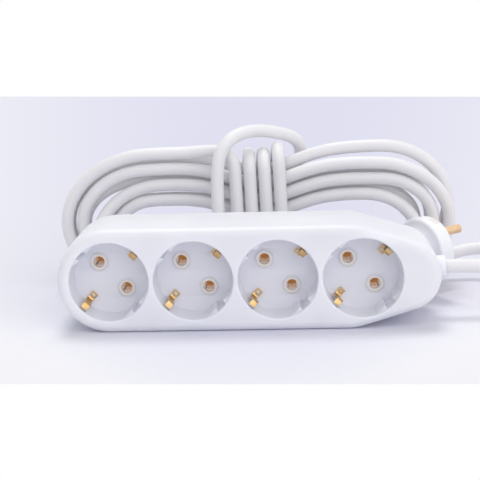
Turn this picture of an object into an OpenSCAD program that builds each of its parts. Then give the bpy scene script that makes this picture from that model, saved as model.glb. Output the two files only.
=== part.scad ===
// Four-way socket strip with its mains cord bound up in a hank behind it, millimetres.
// The strip stands on its long side: +X along it, -Y the way the sockets face, +Z up.
// The origin is at the bottom centre of the housing.

/* [Housing] */
// Overall length of the housing
body_len = 187.8; // [187:0.2:200]
// Height of the housing as it stands on its long side
body_h = 51.5; // [50:0.5:56]
// Depth from the socket face to the back
body_d = 45; // [44.5:0.5:52]
// Thickness of the side walls
side_t = 2; // [1.6:0.1:2.4]
// Thickness of the socket face
face_t = 2; // [1.6:0.1:3]
// Rounding of the edge round the socket face
edge_r = 4.5; // [2:0.25:4.75]
// Rounding of the edge round the back
back_r = 0.8; // [0.4:0.1:1.2]
// Length of the tapered end
taper_len = 41.75; // [39:0.25:44]
// Slope of each side of the tapered end
taper_deg = 17; // [14:0.5:19]
// Radius that blends the long sides into the taper
blend_r = 25; // [12:1:30]
// Thickness of the base plate
plate_t = 2.5; // [2:0.1:2.6]
// Gap round the edge of the base plate
plate_gap = 0.25; // [0.15:0.05:0.4]

/* [Sockets] */
// Distance from socket to socket
pitch = 41.3; // [41:0.05:41.7]
// Least distance from the last socket to the tip, which settles how many sockets fit
nose_room = 35; // [34:0.5:37]
// Radius of the plug recess
recess_r = 19.5; // [19.4:0.05:19.65]
// Depth of the plug recess
recess_depth = 17.5; // [17:0.25:18]
// Rounding of the recess rim
rim_r = 0.8; // [0.4:0.1:0.9]
// Wall of the cup round the recess
cup_t = 1.6; // [1.4:0.1:1.8]
// Thickness of the recess floor
floor_t = 2; // [1.6:0.1:2.4]
// Distance from the middle to each flat of the plug guide
guide_reach = 17.9; // [17.7:0.1:18.3]
// Depth of the guide flats below the face
guide_drop = 2; // [1:0.5:4]
// Width of the notch in each guide flat
notch_w = 5.3; // [4.5:0.1:6]
// Distance between the two pin holes
pin_pitch = 19; // [18.8:0.1:19.2]
// Radius of a pin hole
hole_r = 2.7; // [2.6:0.05:2.8]
// Outer radius of the ring round a pin hole
ring_r = 4.5; // [4.2:0.1:4.6]
// How far the ring stands above the recess floor
ring_rise = 0.4; // [0.2:0.1:0.5]
// Flange that holds the ring under the floor, as extra radius
ring_lip = 0.7; // [0.4:0.1:0.9]
// Thickness of that flange
ring_lip_t = 1; // [0.8:0.1:1.1]

/* [Contacts] */
// Outer radius of a pin contact
contact_r = 3.3; // [3.1:0.05:3.5]
// Bore radius of a pin contact
contact_bore = 2.45; // [2.42:0.01:2.55]
// Width of the slits that let a contact spring
slit_w = 0.8; // [0.5:0.1:1.2]
// Thickness of the live and neutral bars
bar_t = 0.8; // [0.6:0.1:1]
// Radius of the posts under the bars
post_r = 3; // [2.5:0.1:3.4]
// Height of those posts
post_h = 4.2; // [3.5:0.1:5]
// Width of the earth bar
earth_w = 5; // [4:0.25:6]
// Thickness of the earth bar
earth_t = 0.8; // [0.6:0.1:0.9]
// How far the earth bar runs on past its last rivet
earth_tail = 2.6; // [2:0.1:2.8]

/* [Earth clips] */
// Width of an earth clip
clip_w = 3.4; // [3:0.1:3.8]
// Thickness of an earth clip
clip_t = 0.6; // [0.5:0.05:0.7]
// Radius at which the foot of a clip begins
foot_in = 13; // [12.8:0.1:13.2]
// Radius at which the clip bends up from the floor
clip_root = 17.6; // [17.4:0.05:17.7]
// Radius at the narrowest place between the two clips
clip_waist = 15.3; // [15.2:0.1:15.9]
// Depth of that place below the face
clip_waist_z = 4.6; // [4:0.2:5.5]
// Radius of the rivet shanks
rivet_r = 0.9; // [0.7:0.05:1]
// Gap between a moving arm and its fixed foot
arm_gap = 0.35; // [0.3:0.05:0.5]

/* [Screws] */
// Radius of the screw bosses
boss_r = 3.8; // [3.6:0.1:4]
// Distance from the tip to the two screws beside the nose
nose_screw_in = 18.9; // [18.5:0.1:19.5]
// Shank radius of a cover screw
screw_r = 1.4; // [1.2:0.05:1.5]
// Head radius of a cover screw
screw_head_r = 2.8; // [2.5:0.1:2.9]
// Head height of a cover screw
screw_head_h = 1.1; // [0.9:0.05:1.15]
// Radius of the two clamp bosses
clamp_boss_r = 2.8; // [2.6:0.1:2.9]
// Shank radius of a clamp screw
clamp_screw_r = 1.2; // [1:0.05:1.3]
// Clearance round a screw in its hole
screw_gap = 0.05; // [0.03:0.01:0.1]

/* [Cord and plug] */
// Diameter of the cord
cord_d = 7; // [6.6:0.1:7]
// Outer radius of the gland
gland_r = 5.4; // [5:0.1:5.6]
// How far the gland stands out of the housing
gland_out = 4; // [3.5:0.25:4]
// How far the cord's cut end lies inside the tip
cord_in = 16; // [15.5:0.1:16.5]
// Distance from the tip to the middle of the cord clamp
clamp_in = 9.4; // [9.2:0.1:10]
// Gap between the cord clamp and the wall of the nose
clamp_gap = 0.2; // [0.1:0.05:0.5]
// Width of the cord clamp
clamp_w = 6; // [5:0.25:6.5]
// Thickness of the cord clamp behind the cord
clamp_t = 2.3; // [1.8:0.1:3]
// Radius of a core inside the cord
core_r = 1.3; // [1:0.05:1.35]
// Radius of the plug's disc
disc_r = 18.3; // [18:0.05:18.3]
// Thickness of the plug's disc
disc_t = 9; // [8:0.25:9]
// Radius of the plug's grip
grip_r = 11; // [10:0.25:11]
// Length from the disc to the back of the grip
grip_len = 19.5; // [19.5:0.25:20]
// Radius of a plug pin
pin_r = 2.4; // [2.35:0.01:2.4]
// Length of a plug pin outside the plug
pin_len = 19; // [18:0.25:19]
// Width of the bridge that holds the pins
bridge_w = 6; // [5.8:0.1:6.6]
// Thickness of the bridge, from the plug's face
bridge_t = 6; // [5:0.25:7]
// How far the ends of the bridge lie inside the rim of the disc
bridge_in = 0.4; // [0.3:0.1:1]

/* [Hidden] */
eps = 0.01;
WHITE = "#f2f1f6";
IVORY = "#ebe6da";
BRASS = "#c99a4e";
STEEL = "#b9bcc2";

// Housing
half_h = body_h / 2;
half_len = body_len / 2;
socket_count = floor((body_len - half_h - nose_room) / pitch) + 1;
first_x = -half_len + half_h;
socket_x = [for (i = [0 : socket_count - 1]) first_x + i * pitch];
last_x = socket_x[socket_count - 1];
cup_r = recess_r + cup_t;
cup_depth = recess_depth + floor_t;
plate_top = body_d - plate_t;
// The taper starts where the straight side and the sloping side would meet.
corner_x = half_len - taper_len;
slope_reach = corner_x * sin(taper_deg) + half_h * cos(taper_deg);
nose_r = (slope_reach - half_len * sin(taper_deg)) / (1 - sin(taper_deg));
nose_x = half_len - nose_r;
blend_x = corner_x - blend_r * tan(taper_deg / 2);

// Inner pieces, as depths below the face
ring_bottom = cup_depth + ring_lip_t;
ring_flange_r = ring_r + ring_lip;
bar_bottom = plate_top - post_h;
contact_bottom = bar_bottom - bar_t;
contact_len = contact_bottom - ring_bottom;
bar_w = 2 * contact_r;
slit_turns = [45, 135];
pin_off = pin_pitch / 2 / sqrt(2);
fit_gap = 0.05;

// Earth clips lie across the pins, one on each side of a socket
clip_turns = [45, 225];
foot_end = clip_root - clip_t;
rivet_at = foot_in + 1.8;
rivet_head_r = rivet_r + 0.35;
rivet_head_h = 0.4;
rivet_tail_h = 0.4;
pocket_out = recess_r + 1;
pocket_side = 0.5;
pocket_top = 1.4;
arm_foot_z = recess_depth - clip_t - arm_gap;
curl_z = 2.4;
curl_out = 2.9;

// Cover screws stand between the sockets and beside the nose
boss_bite = 0.1;
boss_edge = half_h - side_t - boss_r + boss_bite;
nose_boss_x = half_len - nose_screw_in;
nose_boss_edge = (slope_reach - side_t - boss_r + boss_bite - nose_boss_x * sin(taper_deg))
    / cos(taper_deg);
bar_end = nose_boss_x - boss_r - 0.4;
cover_spots = [
    for (side = [-1, 1]) [first_x + pitch / 2, side * boss_edge],
    for (side = [-1, 1]) [first_x + 2.5 * pitch, side * boss_edge],
    for (side = [-1, 1]) [nose_boss_x, side * nose_boss_edge]
];
screw_len = 10;
head_seat = body_d - screw_head_h - 0.1;

// Cord entry: the cord comes in through the nose, nearer the back than the face
cord_r = cord_d / 2;
cord_z = 24;
gland_end = half_len + gland_out;
gland_lip_r = gland_r + 1.4;
gland_lip_x = nose_x + sqrt(pow(nose_r - side_t, 2) - pow(gland_lip_r, 2)) - fit_gap;
gland_lip_t = 2;
clamp_x = half_len - clamp_in;
clamp_reach = sqrt(pow(nose_r - side_t, 2) - pow(clamp_x + clamp_w / 2 - nose_x, 2))
    - clamp_boss_r - clamp_gap;
clamp_seat = cord_z + 1.5;
clamp_back = cord_z + cord_r + clamp_t;
clamp_head_r = 2.2;
clamp_head_h = 1.3;
inner_cord_x = half_len - cord_in;
core_off = 1.7;

// Plug: its own axis runs back to front through the disc, pins forwards
plug_at = [92, 44, 24.5];
plug_turn = [0, 88, 38];
plug_roll = 20;
disc_back = -disc_t / 2;
disc_face = disc_t / 2;
pin_tip_r = 1.2;
pin_root_r = pin_r + 0.3;
plug_earth_off = 10;

// Routes: points along the middle of the cord
exit_dir = [1, 0, 0];
lead_points = [
    [gland_end, cord_z - body_d / 2, half_h],
    [105, 1.5, 25.8], [115, 1.7, 25.4], [127, 3.5, 24], [139, 9, 21], [149, 19, 17.5],
    [155, 32, 15], [156, 46, 14.5], [152.5, 60, 15.5], [143.5, 73, 17], [132, 81, 17.5],
    [120, 83.5, 16.5], [109, 81.5, 14.2]
];
tail_points = [
    [22.5, 92.5, 60], [25.5, 94, 66.5], [27.5, 93.5, 73], [26, 90.5, 79], [21, 86.5, 83],
    [14, 81, 85.5], [5, 74, 87.5], [-4, 67, 87.3], [-11.5, 61, 84], [-16.5, 57.5, 76.5],
    [-18, 55.5, 66], [-18, 52.5, 54], [-17.2, 47.5, 40], [-13.5, 42, 25], [-6, 38, 15],
    [5, 35.5, 8.5], [18, 33.5, 5], [31, 32, 5.5], [43, 31.5, 9], [54, 30.5, 13.8]
];
guard_points = [[58, 29.3, 16.6], [62, 28.2, 19.3], [66.5, 27.7, 22], [70.5, 28.1, 23.4]];
guard_radii = [4.1, 4.3, 4.5, 4.6, 5, 6.4];
guard_dir = [0.83, -0.25, 0.5];

// Hank: loops that spiral in and out again in two layers, bottom runs in four
hank_y = 75;
layer_step = 7.6;
fan_step = 7.7;
turn_start = -0.17;
turn_end = 6.425;
turn_in = 3.25;
turn_soft = 0.1;
hank_x = 4.8;
reach_out = 110.6;
reach_step = 8.8;
rear_top = 82;
rear_step = 11.4;
front_top = 79.1;
front_step = 8.7;
low_out = 3.7;
low_step = 8.8;
waist_drop = 11.3;
waist_lift = 10.9;
waist_x = 5;
waist_w = 26;
lift_x = 8;
lift_w = 40;
rear_lean = [0.08, 0.035];
front_lean = [0.032, -0.038];
change_from = 0.07;
change_over = 0.185;
end_stretch = 1.2;
run_share = 0.11;
hank_rings = 24;
ring_warp = 0.3;

// Wraps: four turns round the waist of the hank, each one cord further right
wrap_x = -9.5;
wrap_step = 8;
wrap_low_half = 22.6;
wrap_top_half = 12.9;
wrap_low_h = 15.5;
wrap_top_h = 12.5;
wrap_low_pow = 3.4;
wrap_top_pow = 3;
wrap_low = 3.6;
wrap_top = 75;
wrap_bump = 2.6;
wrap_start = 0.09;
wrap_end = 3.83;
wrap_top_share = 0.24;
wrap_low_share = 0.7;
link_pull = 40;

// ---- Helpers ----

function unit(v) = v / norm(v);
function smooth(t) = let (c = max(0, min(1, t))) c * c * (3 - 2 * c);
function between(a, b, share) = a + (b - a) * share;
function square_off(n, t) = unit(n - (n * t) * t);
function arc(centre, r, from, to, steps) =
    [for (i = [0 : steps]) let (a = from + (to - from) * i / steps) centre + r * [cos(a), sin(a)]];

// Outline of the housing seen from the front, moved inwards by inset
function outline(inset) = concat(
    arc([first_x, 0], half_h - inset, 90, 270, 24),
    arc([blend_x, -half_h + blend_r], blend_r - inset, 270, 270 + taper_deg, 3),
    arc([nose_x, 0], nose_r - inset, 270 + taper_deg, 450 - taper_deg, 18),
    arc([blend_x, half_h - blend_r], blend_r - inset, 90 - taper_deg, 90, 3)
);

// Places what is drawn on the socket face, x to the right, y up and z out of the face
module on_face() translate([0, -body_d / 2, half_h]) rotate([90, 0, 0]) children();

module at_plug() translate(plug_at) rotate(plug_turn) rotate([0, 0, plug_roll]) children();

// Faces of a skin over rings of points; rows go along the skin, each ring has n points
function skin_faces(rows, n) = concat(
    [[for (k = [0 : n - 1]) k]],
    [for (i = [0 : rows - 2], k = [0 : n - 1])
        [i * n + k, (i + 1) * n + k, (i + 1) * n + (k + 1) % n]],
    [for (i = [0 : rows - 2], k = [0 : n - 1])
        [i * n + k, (i + 1) * n + (k + 1) % n, i * n + (k + 1) % n]],
    [[for (k = [n - 1 : -1 : 0]) (rows - 1) * n + k]]
);

// Directions along a path, with the first and the last given
function headings(p, first, last) = [for (i = [0 : len(p) - 1])
    i == 0 ? unit(first) : i == len(p) - 1 ? unit(last)
        : unit(unit(p[i + 1] - p[i]) + unit(p[i] - p[i - 1]))];

// A side direction for each point, carried along without twist
function sides_of(t) = [
    for (i = 0, n = square_off([0, 0, 1] + 0.3 * [0, 1, 0], t[0]); i < len(t);
        i = i + 1, n = i < len(t) ? square_off(n, t[i]) : n) n
];

// A tube along path p with a radius for each point
module tube(p, radii, first, last, sides) {
    t = headings(p, first, last);
    n = sides_of(t);
    rings = [for (i = [0 : len(p) - 1], k = [0 : sides - 1])
        p[i] + radii[i] * (cos(360 * k / sides) * n[i] + sin(360 * k / sides) * cross(t[i], n[i]))];
    polyhedron(rings, skin_faces(len(p), sides));
}

module cord_tube(p, first, last, sides) {
    tube(p, [for (q = p) cord_r], first, last, sides);
}

// A flat strip of thickness t that follows the corner points p, as an outline
function side_dir(p, i) = let (
    a = unit(p[min(i + 1, len(p) - 1)] - p[min(i, len(p) - 2)]),
    b = unit(p[max(i, 1)] - p[max(i - 1, 0)]),
    m = unit(a + b)
) [-m.y, m.x] / (m * a);
function ribbon(p, t) = concat(
    [for (i = [0 : len(p) - 1]) p[i] + t / 2 * side_dir(p, i)],
    [for (i = [len(p) - 1 : -1 : 0]) p[i] - t / 2 * side_dir(p, i)]
);

// ---- Housing ----

// Rings of the outside from back to front: the back edge, the side, the front edge
shell_levels = concat(
    [for (i = [0 : 2]) let (a = 45 * i) [back_r * (1 - sin(a)), back_r * (1 - cos(a)) - body_d]],
    [for (i = [5 : -1 : 0]) let (a = 18 * i) [edge_r * (1 - sin(a)), -edge_r * (1 - cos(a))]]
);

module shell_outside() {
    polyhedron(
        [for (level = shell_levels, q = outline(level[0])) [q.x, q.y, level[1]]],
        skin_faces(len(shell_levels), len(outline(0)))
    );
}

module guide_flats() {
    for (turn = [135, 315]) rotate([0, 0, turn])
        difference() {
            translate([guide_reach, -recess_r / 2, -recess_depth - eps])
                cube([recess_r - guide_reach + cup_t / 2, recess_r, recess_depth - guide_drop + eps]);
            translate([0, -notch_w / 2, -recess_depth - 1])
                cube([2 * recess_r, notch_w, recess_depth + 1]);
        }
}

module recess_cut() {
    difference() {
        translate([0, 0, -recess_depth]) cylinder(h = recess_depth + 1, r = recess_r, $fn = 64);
        intersection() {
            guide_flats();
            translate([0, 0, -recess_depth - 1])
                cylinder(h = recess_depth + 1, r = recess_r + cup_t / 2, $fn = 64);
        }
    }
    rotate_extrude($fn = 64) difference() {
        translate([recess_r - eps, -rim_r]) square([rim_r + eps, rim_r + eps]);
        translate([recess_r + rim_r, -rim_r]) circle(r = rim_r, $fn = 24);
    }
    for (turn = clip_turns) rotate([0, 0, turn])
        translate([recess_r - 2.5, -clip_w / 2 - pocket_side, -recess_depth])
            cube([pocket_out - recess_r + 2.5, clip_w + 2 * pocket_side, recess_depth - pocket_top]);
    for (side = [-1, 1]) translate([-side * pin_off, side * pin_off, -cup_depth - 1])
        cylinder(h = cup_depth + 1, r = ring_r + fit_gap, $fn = 48);
    for (turn = clip_turns) rotate([0, 0, turn]) translate([rivet_at, 0, -cup_depth - 1])
        cylinder(h = cup_depth, r = rivet_r + fit_gap, $fn = 24);
}

module top_shell() color(WHITE) on_face() difference() {
    union() {
        difference() {
            shell_outside();
            translate([0, 0, -body_d - 1])
                linear_extrude(body_d + 1 - face_t) polygon(outline(side_t));
        }
        for (x = socket_x) translate([x, 0, -cup_depth])
            cylinder(h = cup_depth - face_t / 2, r = cup_r, $fn = 64);
        for (spot = cover_spots) translate([spot.x, spot.y, -plate_top])
            cylinder(h = plate_top - face_t / 2, r = boss_r, $fn = 32);
        for (side = [-1, 1]) translate([clamp_x, side * clamp_reach, -clamp_seat])
            cylinder(h = clamp_seat - face_t / 2, r = clamp_boss_r, $fn = 32);
        translate([clamp_x - clamp_w / 2, -cord_r - 1, -cord_z])
            cube([clamp_w, 2 * cord_r + 2, cord_z - face_t / 2]);
    }
    for (x = socket_x) translate([x, 0, 0]) recess_cut();
    for (spot = cover_spots) translate([spot.x, spot.y, -plate_top - 1])
        cylinder(h = screw_len + 1, r = screw_r + screw_gap, $fn = 24);
    for (side = [-1, 1]) translate([clamp_x, side * clamp_reach, -clamp_seat - 1])
        cylinder(h = screw_len + 1, r = clamp_screw_r + screw_gap, $fn = 24);
    translate([inner_cord_x, 0, -cord_z]) rotate([0, 90, 0])
        cylinder(h = gland_lip_x - inner_cord_x, r = cord_r, $fn = 32);
    translate([gland_lip_x - 1, 0, -cord_z]) rotate([0, 90, 0])
        cylinder(h = half_len - gland_lip_x + 2, r = gland_r + fit_gap, $fn = 48);
}

module base_plate() color(WHITE) on_face() difference() {
    union() {
        translate([0, 0, -body_d]) linear_extrude(plate_t) polygon(outline(side_t + plate_gap));
        for (x = socket_x, side = [-1, 1])
            translate([x - side * pin_off, side * pin_off, -plate_top - eps])
                cylinder(h = plate_top - bar_bottom + eps, r = post_r, $fn = 32);
    }
    for (spot = cover_spots) {
        translate([spot.x, spot.y, -body_d - 1])
            cylinder(h = body_d - head_seat + 1, r = screw_head_r + 0.3, $fn = 32);
        translate([spot.x, spot.y, -body_d - 1])
            cylinder(h = plate_t + 2, r = screw_r + 0.2, $fn = 24);
    }
}

module screw(r, len, head_r, head_h) {
    cylinder(h = len, r = r, $fn = 24);
    difference() {
        translate([0, 0, -head_h]) cylinder(h = head_h, r = head_r, $fn = 32);
        for (turn = [0, 90]) rotate([0, 0, turn])
            translate([-head_r * 0.6, -0.3, -head_h - 1]) cube([head_r * 1.2, 0.6, 1.6]);
    }
}

module cover_screws() color(STEEL) on_face() for (spot = cover_spots)
    translate([spot.x, spot.y, -head_seat])
        screw(screw_r, head_seat - plate_top + screw_len - 1, screw_head_r, screw_head_h);

// ---- Contacts ----

module pin_rings() color(IVORY) on_face() for (x = socket_x, side = [-1, 1])
    translate([x - side * pin_off, side * pin_off, -ring_bottom]) difference() {
        union() {
            cylinder(h = ring_lip_t, r = ring_flange_r, $fn = 48);
            cylinder(h = ring_bottom - recess_depth + ring_rise, r = ring_r, $fn = 48);
        }
        translate([0, 0, -1]) cylinder(h = cup_depth, r = hole_r, $fn = 48);
    }

// A bar with a slit tube for each socket; side is 1 for live and -1 for neutral
module contact_bar(side) {
    x0 = first_x - side * pin_off;
    translate([x0 - contact_r, side * pin_off - contact_r, -bar_bottom])
        cube([bar_end - x0 + contact_r, bar_w, bar_t]);
    for (x = socket_x) translate([x - side * pin_off, side * pin_off, -contact_bottom - eps])
        difference() {
            cylinder(h = contact_len + eps, r = contact_r, $fn = 32);
            translate([0, 0, eps]) cylinder(h = contact_len + 1, r = contact_bore, $fn = 32);
            for (turn = slit_turns) rotate([0, 0, turn])
                translate([-contact_r - 1, -slit_w / 2, contact_len * 0.4])
                    cube([2 * contact_r + 2, slit_w, contact_len]);
        }
}

module live_bar() color(BRASS) on_face() contact_bar(1);
module neutral_bar() color(BRASS) on_face() contact_bar(-1);

function clip_spot(i, turn) = [socket_x[i], 0] + rivet_at * [cos(turn), sin(turn)];
earth_spots = concat(
    [for (i = [0 : socket_count - 1], turn = [225, 45]) clip_spot(i, turn)],
    [clip_spot(socket_count - 1, 45) + [earth_tail, 0]]
);

module earth_bar() color(BRASS) on_face() translate([0, 0, -cup_depth - earth_t]) difference() {
    linear_extrude(earth_t) union() {
        for (spot = earth_spots) translate(spot) circle(r = earth_w / 2, $fn = 32);
        for (i = [0 : len(earth_spots) - 2]) let (d = earth_spots[i + 1] - earth_spots[i])
            translate(earth_spots[i]) rotate([0, 0, atan2(d.y, d.x)])
                translate([0, -earth_w / 2]) square([norm(d), earth_w]);
    }
    for (x = socket_x, turn = clip_turns)
        translate([x + rivet_at * cos(turn), rivet_at * sin(turn), -1])
            cylinder(h = earth_t + 2, r = rivet_r + fit_gap, $fn = 24);
}

module earth_feet() color(BRASS) on_face() for (x = socket_x, turn = clip_turns)
    translate([x, 0, -recess_depth]) rotate([0, 0, turn]) difference() {
        translate([foot_in, -clip_w / 2, 0]) cube([foot_end - foot_in, clip_w, clip_t]);
        translate([rivet_at, 0, -1]) cylinder(h = clip_t + 2, r = rivet_r + fit_gap, $fn = 24);
    }

module earth_rivets() color(STEEL) on_face() for (x = socket_x, turn = clip_turns)
    translate([x, 0, 0]) rotate([0, 0, turn]) translate([rivet_at, 0, 0]) {
        translate([0, 0, -recess_depth + clip_t]) cylinder(h = rivet_head_h, r = rivet_head_r, $fn = 24);
        translate([0, 0, -cup_depth - earth_t - eps])
            cylinder(h = floor_t + earth_t + clip_t + 2 * eps, r = rivet_r, $fn = 24);
        translate([0, 0, -cup_depth - earth_t - rivet_tail_h])
            cylinder(h = rivet_tail_h, r = rivet_head_r, $fn = 24);
    }

// The springing arm: up from the floor, leaning in, then curled out under the rim
arm_points = [
    [clip_root, -arm_foot_z], [clip_root - 0.9, -(arm_foot_z + clip_waist_z) / 2 - 0.6],
    [clip_waist, -clip_waist_z], [clip_waist + 0.1, -clip_waist_z + 1],
    [clip_waist + 1, -curl_z - 0.35], [clip_waist + curl_out, -curl_z]
];

module earth_arm(i, turn) if (i < socket_count)
    color(BRASS) on_face() translate([socket_x[i], 0, 0]) rotate([0, 0, turn])
        translate([0, clip_w / 2, 0]) rotate([90, 0, 0])
            linear_extrude(clip_w) polygon(ribbon(arm_points, clip_t));

// ---- Cord entry ----

module cord_clamp() color(WHITE) on_face() difference() {
    translate([clamp_x - clamp_w / 2, -clamp_reach - clamp_boss_r, -clamp_back])
        cube([clamp_w, 2 * (clamp_reach + clamp_boss_r), clamp_back - clamp_seat]);
    translate([clamp_x - clamp_w, 0, -cord_z]) rotate([0, 90, 0])
        cylinder(h = 2 * clamp_w, r = cord_r, $fn = 32);
    for (side = [-1, 1]) translate([clamp_x, side * clamp_reach, -clamp_back - 1])
        cylinder(h = clamp_back, r = clamp_screw_r + 0.2, $fn = 24);
}

module clamp_screws() color(STEEL) on_face() for (side = [-1, 1])
    translate([clamp_x, side * clamp_reach, -clamp_back])
        screw(clamp_screw_r, clamp_back - clamp_seat + screw_len - 1, clamp_head_r, clamp_head_h);

module cord_inner_end() color(WHITE) on_face() translate([inner_cord_x, 0, -cord_z])
    rotate([0, 90, 0]) cylinder(h = gland_end - inner_cord_x, r = cord_r, $fn = 32);

module cord_gland() color(WHITE) on_face() difference() {
    translate([0, 0, -cord_z]) rotate([0, 90, 0]) {
        translate([0, 0, gland_lip_x - gland_lip_t]) cylinder(h = gland_lip_t, r = gland_lip_r, $fn = 48);
        translate([0, 0, gland_lip_x - eps]) cylinder(h = gland_end - gland_lip_x + eps, r = gland_r, $fn = 48);
    }
    translate([inner_cord_x, 0, -cord_z]) rotate([0, 90, 0])
        cylinder(h = 2 * gland_end, r = cord_r, $fn = 32);
}

// A core from the cord's cut end to its bar, drawn on the face; the last point lies on the bar
module core(p) tube(p, [for (q = p) core_r], [-1, 0, 0], [-1, 0, 0], 8);

bar_top = contact_bottom - core_r;
core_end = last_x + pin_off + contact_r + core_r + 0.4;
earth_top = cup_depth + earth_t + core_r;

module contact_core(side) core([
    [inner_cord_x, side * core_off * cos(30), -cord_z - core_off / 2],
    [inner_cord_x - 2.4, side * 2.2, -cord_z - 1.4],
    [inner_cord_x - 4.4, side * (pin_off - 2.2), -cord_z - 5],
    [inner_cord_x - 5.4, side * (pin_off - 0.6), -bar_top + 3.2],
    [inner_cord_x - 7, side * pin_off, -bar_top],
    [core_end, side * pin_off, -bar_top]
]);

module live_wire() color("#7a4a2b") on_face() contact_core(1);
module neutral_wire() color("#3d6fb5") on_face() contact_core(-1);

module earth_wire() color("#9bb53c") on_face() let (end = earth_spots[len(earth_spots) - 1]) core([
    [inner_cord_x, 0, -cord_z + core_off], [inner_cord_x - 3, 2, -cord_z + core_off],
    [inner_cord_x - 5.4, 5.2, -earth_top - 0.3], [inner_cord_x - 7.4, 8.3, -earth_top],
    [end.x + 0.2, end.y - 0.3, -earth_top],
    [end.x - earth_tail + rivet_head_r + 0.3, end.y, -earth_top]
]);

// ---- Cord routes ----

// A point of the hank after v turns, from the bottom of the waist towards the left
function hank_at(v) = let (
    step = turn_in - sqrt(pow(v - turn_in, 2) + pow(turn_soft, 2)),
    base = v < 1.5 ? 0 : v < 3.5 ? 2 : v < 4.5 ? 2.5 : 0.5,
    fan = v > 1.5 && v < 4.5 ? fan_step : 0,
    f = v - floor(v),
    h = min(f, 1 - f),
    front = smooth((v - turn_in + change_from) / change_over),
    top = between(rear_top - rear_step * step, front_top - front_step * step, front),
    low = low_out + low_step * (step - base),
    reach = reach_out - reach_step * step,
    bow = end_stretch * (top - low) / 2,
    a = 180 * max(0, min(1, (h - run_share) / (0.5 - 2 * run_share))),
    run = h < run_share ? h / run_share : h > 0.5 - run_share ? (0.5 - h) / run_share : 1,
    x = hank_x + (f < 0.5 ? -1 : 1) * ((reach - bow) * run + bow * sin(a)),
    up = (1 - cos(a)) / 2,
    drop = waist_drop * exp(-pow((x - waist_x) / waist_w, 2)),
    lift = waist_lift * exp(-pow((x - lift_x) / lift_w, 2)),
    side = x < hank_x ? 0 : 1,
    lean = between(rear_lean[side], front_lean[side], front),
    layer = 1 - 2 * front,
    spread = 1 - smooth((up - 0.5) / 0.42)
) [
    x,
    hank_y + layer * (layer_step / 2 + fan * spread),
    low + (top - low) * up + (1 - up) * lift + up * (lean * (x - hank_x) - drop)
];

// A point of the wraps after t turns, from the top down the front
function wrap_at(t) = let (
    f = t - floor(t),
    h = 2 * min(f, 1 - f),
    top_a = 90 * min(1, h / wrap_top_share),
    low_a = 90 * min(1, (1 - h) / (1 - wrap_low_share)),
    k = max(0, min(1, (h - wrap_top_share) / (wrap_low_share - wrap_top_share))),
    y = h < wrap_top_share ? wrap_top_half * pow(sin(top_a), 2 / wrap_top_pow)
        : h > wrap_low_share ? wrap_low_half * pow(sin(low_a), 2 / wrap_low_pow)
        : wrap_top_half + (wrap_low_half - wrap_top_half) * k,
    z = h < wrap_top_share ? wrap_top - wrap_top_h * (1 - pow(cos(top_a), 2 / wrap_top_pow))
        : h > wrap_low_share ? wrap_low + wrap_low_h * (1 - pow(cos(low_a), 2 / wrap_low_pow))
        : wrap_top - wrap_top_h + (wrap_low + wrap_low_h - wrap_top + wrap_top_h) * k
) [
    wrap_x + wrap_step * t,
    hank_y + (f < 0.5 ? -y : y),
    z + wrap_bump * exp(-pow((t - 3) / 0.13, 2))
];

// The rings crowd a little at the waist, where the loops bend most
function warped(k) = k - ring_warp * sin(720 * k) / (4 * PI);
hank_turns = concat(
    [turn_start],
    [for (k = [ceil(turn_start * hank_rings) + 1 : floor(turn_end * hank_rings) - 1])
        warped(k / hank_rings)],
    [turn_end]
);
wrap_turns = concat(
    [wrap_start],
    [for (k = [ceil(wrap_start * hank_rings) : floor(wrap_end * hank_rings)])
        if (k / hank_rings > wrap_start + 0.01 && k / hank_rings < wrap_end - 0.01) k / hank_rings],
    [wrap_end]
);
hank_loops = [for (v = hank_turns) hank_at(v)];
hank_wraps = [for (t = wrap_turns) wrap_at(t)];
hank_first_dir = unit(hank_at(turn_start + 0.01) - hank_at(turn_start));
hank_last_dir = unit(hank_at(turn_end) - hank_at(turn_end - 0.01));
wrap_first_dir = unit(wrap_at(wrap_start + 0.01) - wrap_at(wrap_start));
wrap_last_dir = unit(wrap_at(wrap_end) - wrap_at(wrap_end - 0.01));

// A smooth bend from the last loop into the first wrap
function bend(p, dp, q, dq, pull, t) =
    (2 * pow(t, 3) - 3 * pow(t, 2) + 1) * p + (pow(t, 3) - 2 * pow(t, 2) + t) * pull * dp
    + (3 * pow(t, 2) - 2 * pow(t, 3)) * q + (pow(t, 3) - pow(t, 2)) * pull * dq;
link_points = [for (i = [1 : 3]) bend(
    hank_loops[len(hank_loops) - 1], hank_last_dir, hank_wraps[0], wrap_first_dir, link_pull, i / 4)];
hank_route = concat(hank_loops, link_points, hank_wraps);

// The least gap of the hank's cord to itself, between points more than three cords apart
function length_along(p) = [
    for (i = 0, s = 0; i < len(p); i = i + 1, s = i < len(p) ? s + norm(p[i] - p[i - 1]) : s) s
];
hank_lengths = length_along(hank_route);
hank_gap = min([for (i = [0 : len(hank_route) - 2], j = [i + 1 : len(hank_route) - 1])
    if (hank_lengths[j] - hank_lengths[i] > 3 * cord_d) norm(hank_route[i] - hank_route[j])]) - cord_d;
echo(least_gap_of_hank_mm = hank_gap, rings = len(hank_route), hank_length_mm = hank_lengths[len(hank_route) - 1]);

module cord_lead() color(WHITE) cord_tube(
    concat(lead_points, [hank_loops[0]]), exit_dir, hank_first_dir, 8);
module cord_hank() color(WHITE) cord_tube(hank_route, hank_first_dir, wrap_last_dir, 6);
module cord_tail() color(WHITE) cord_tube(
    concat([hank_wraps[len(hank_wraps) - 1]], tail_points), wrap_last_dir, guard_dir, 8);

// ---- Plug ----

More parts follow.
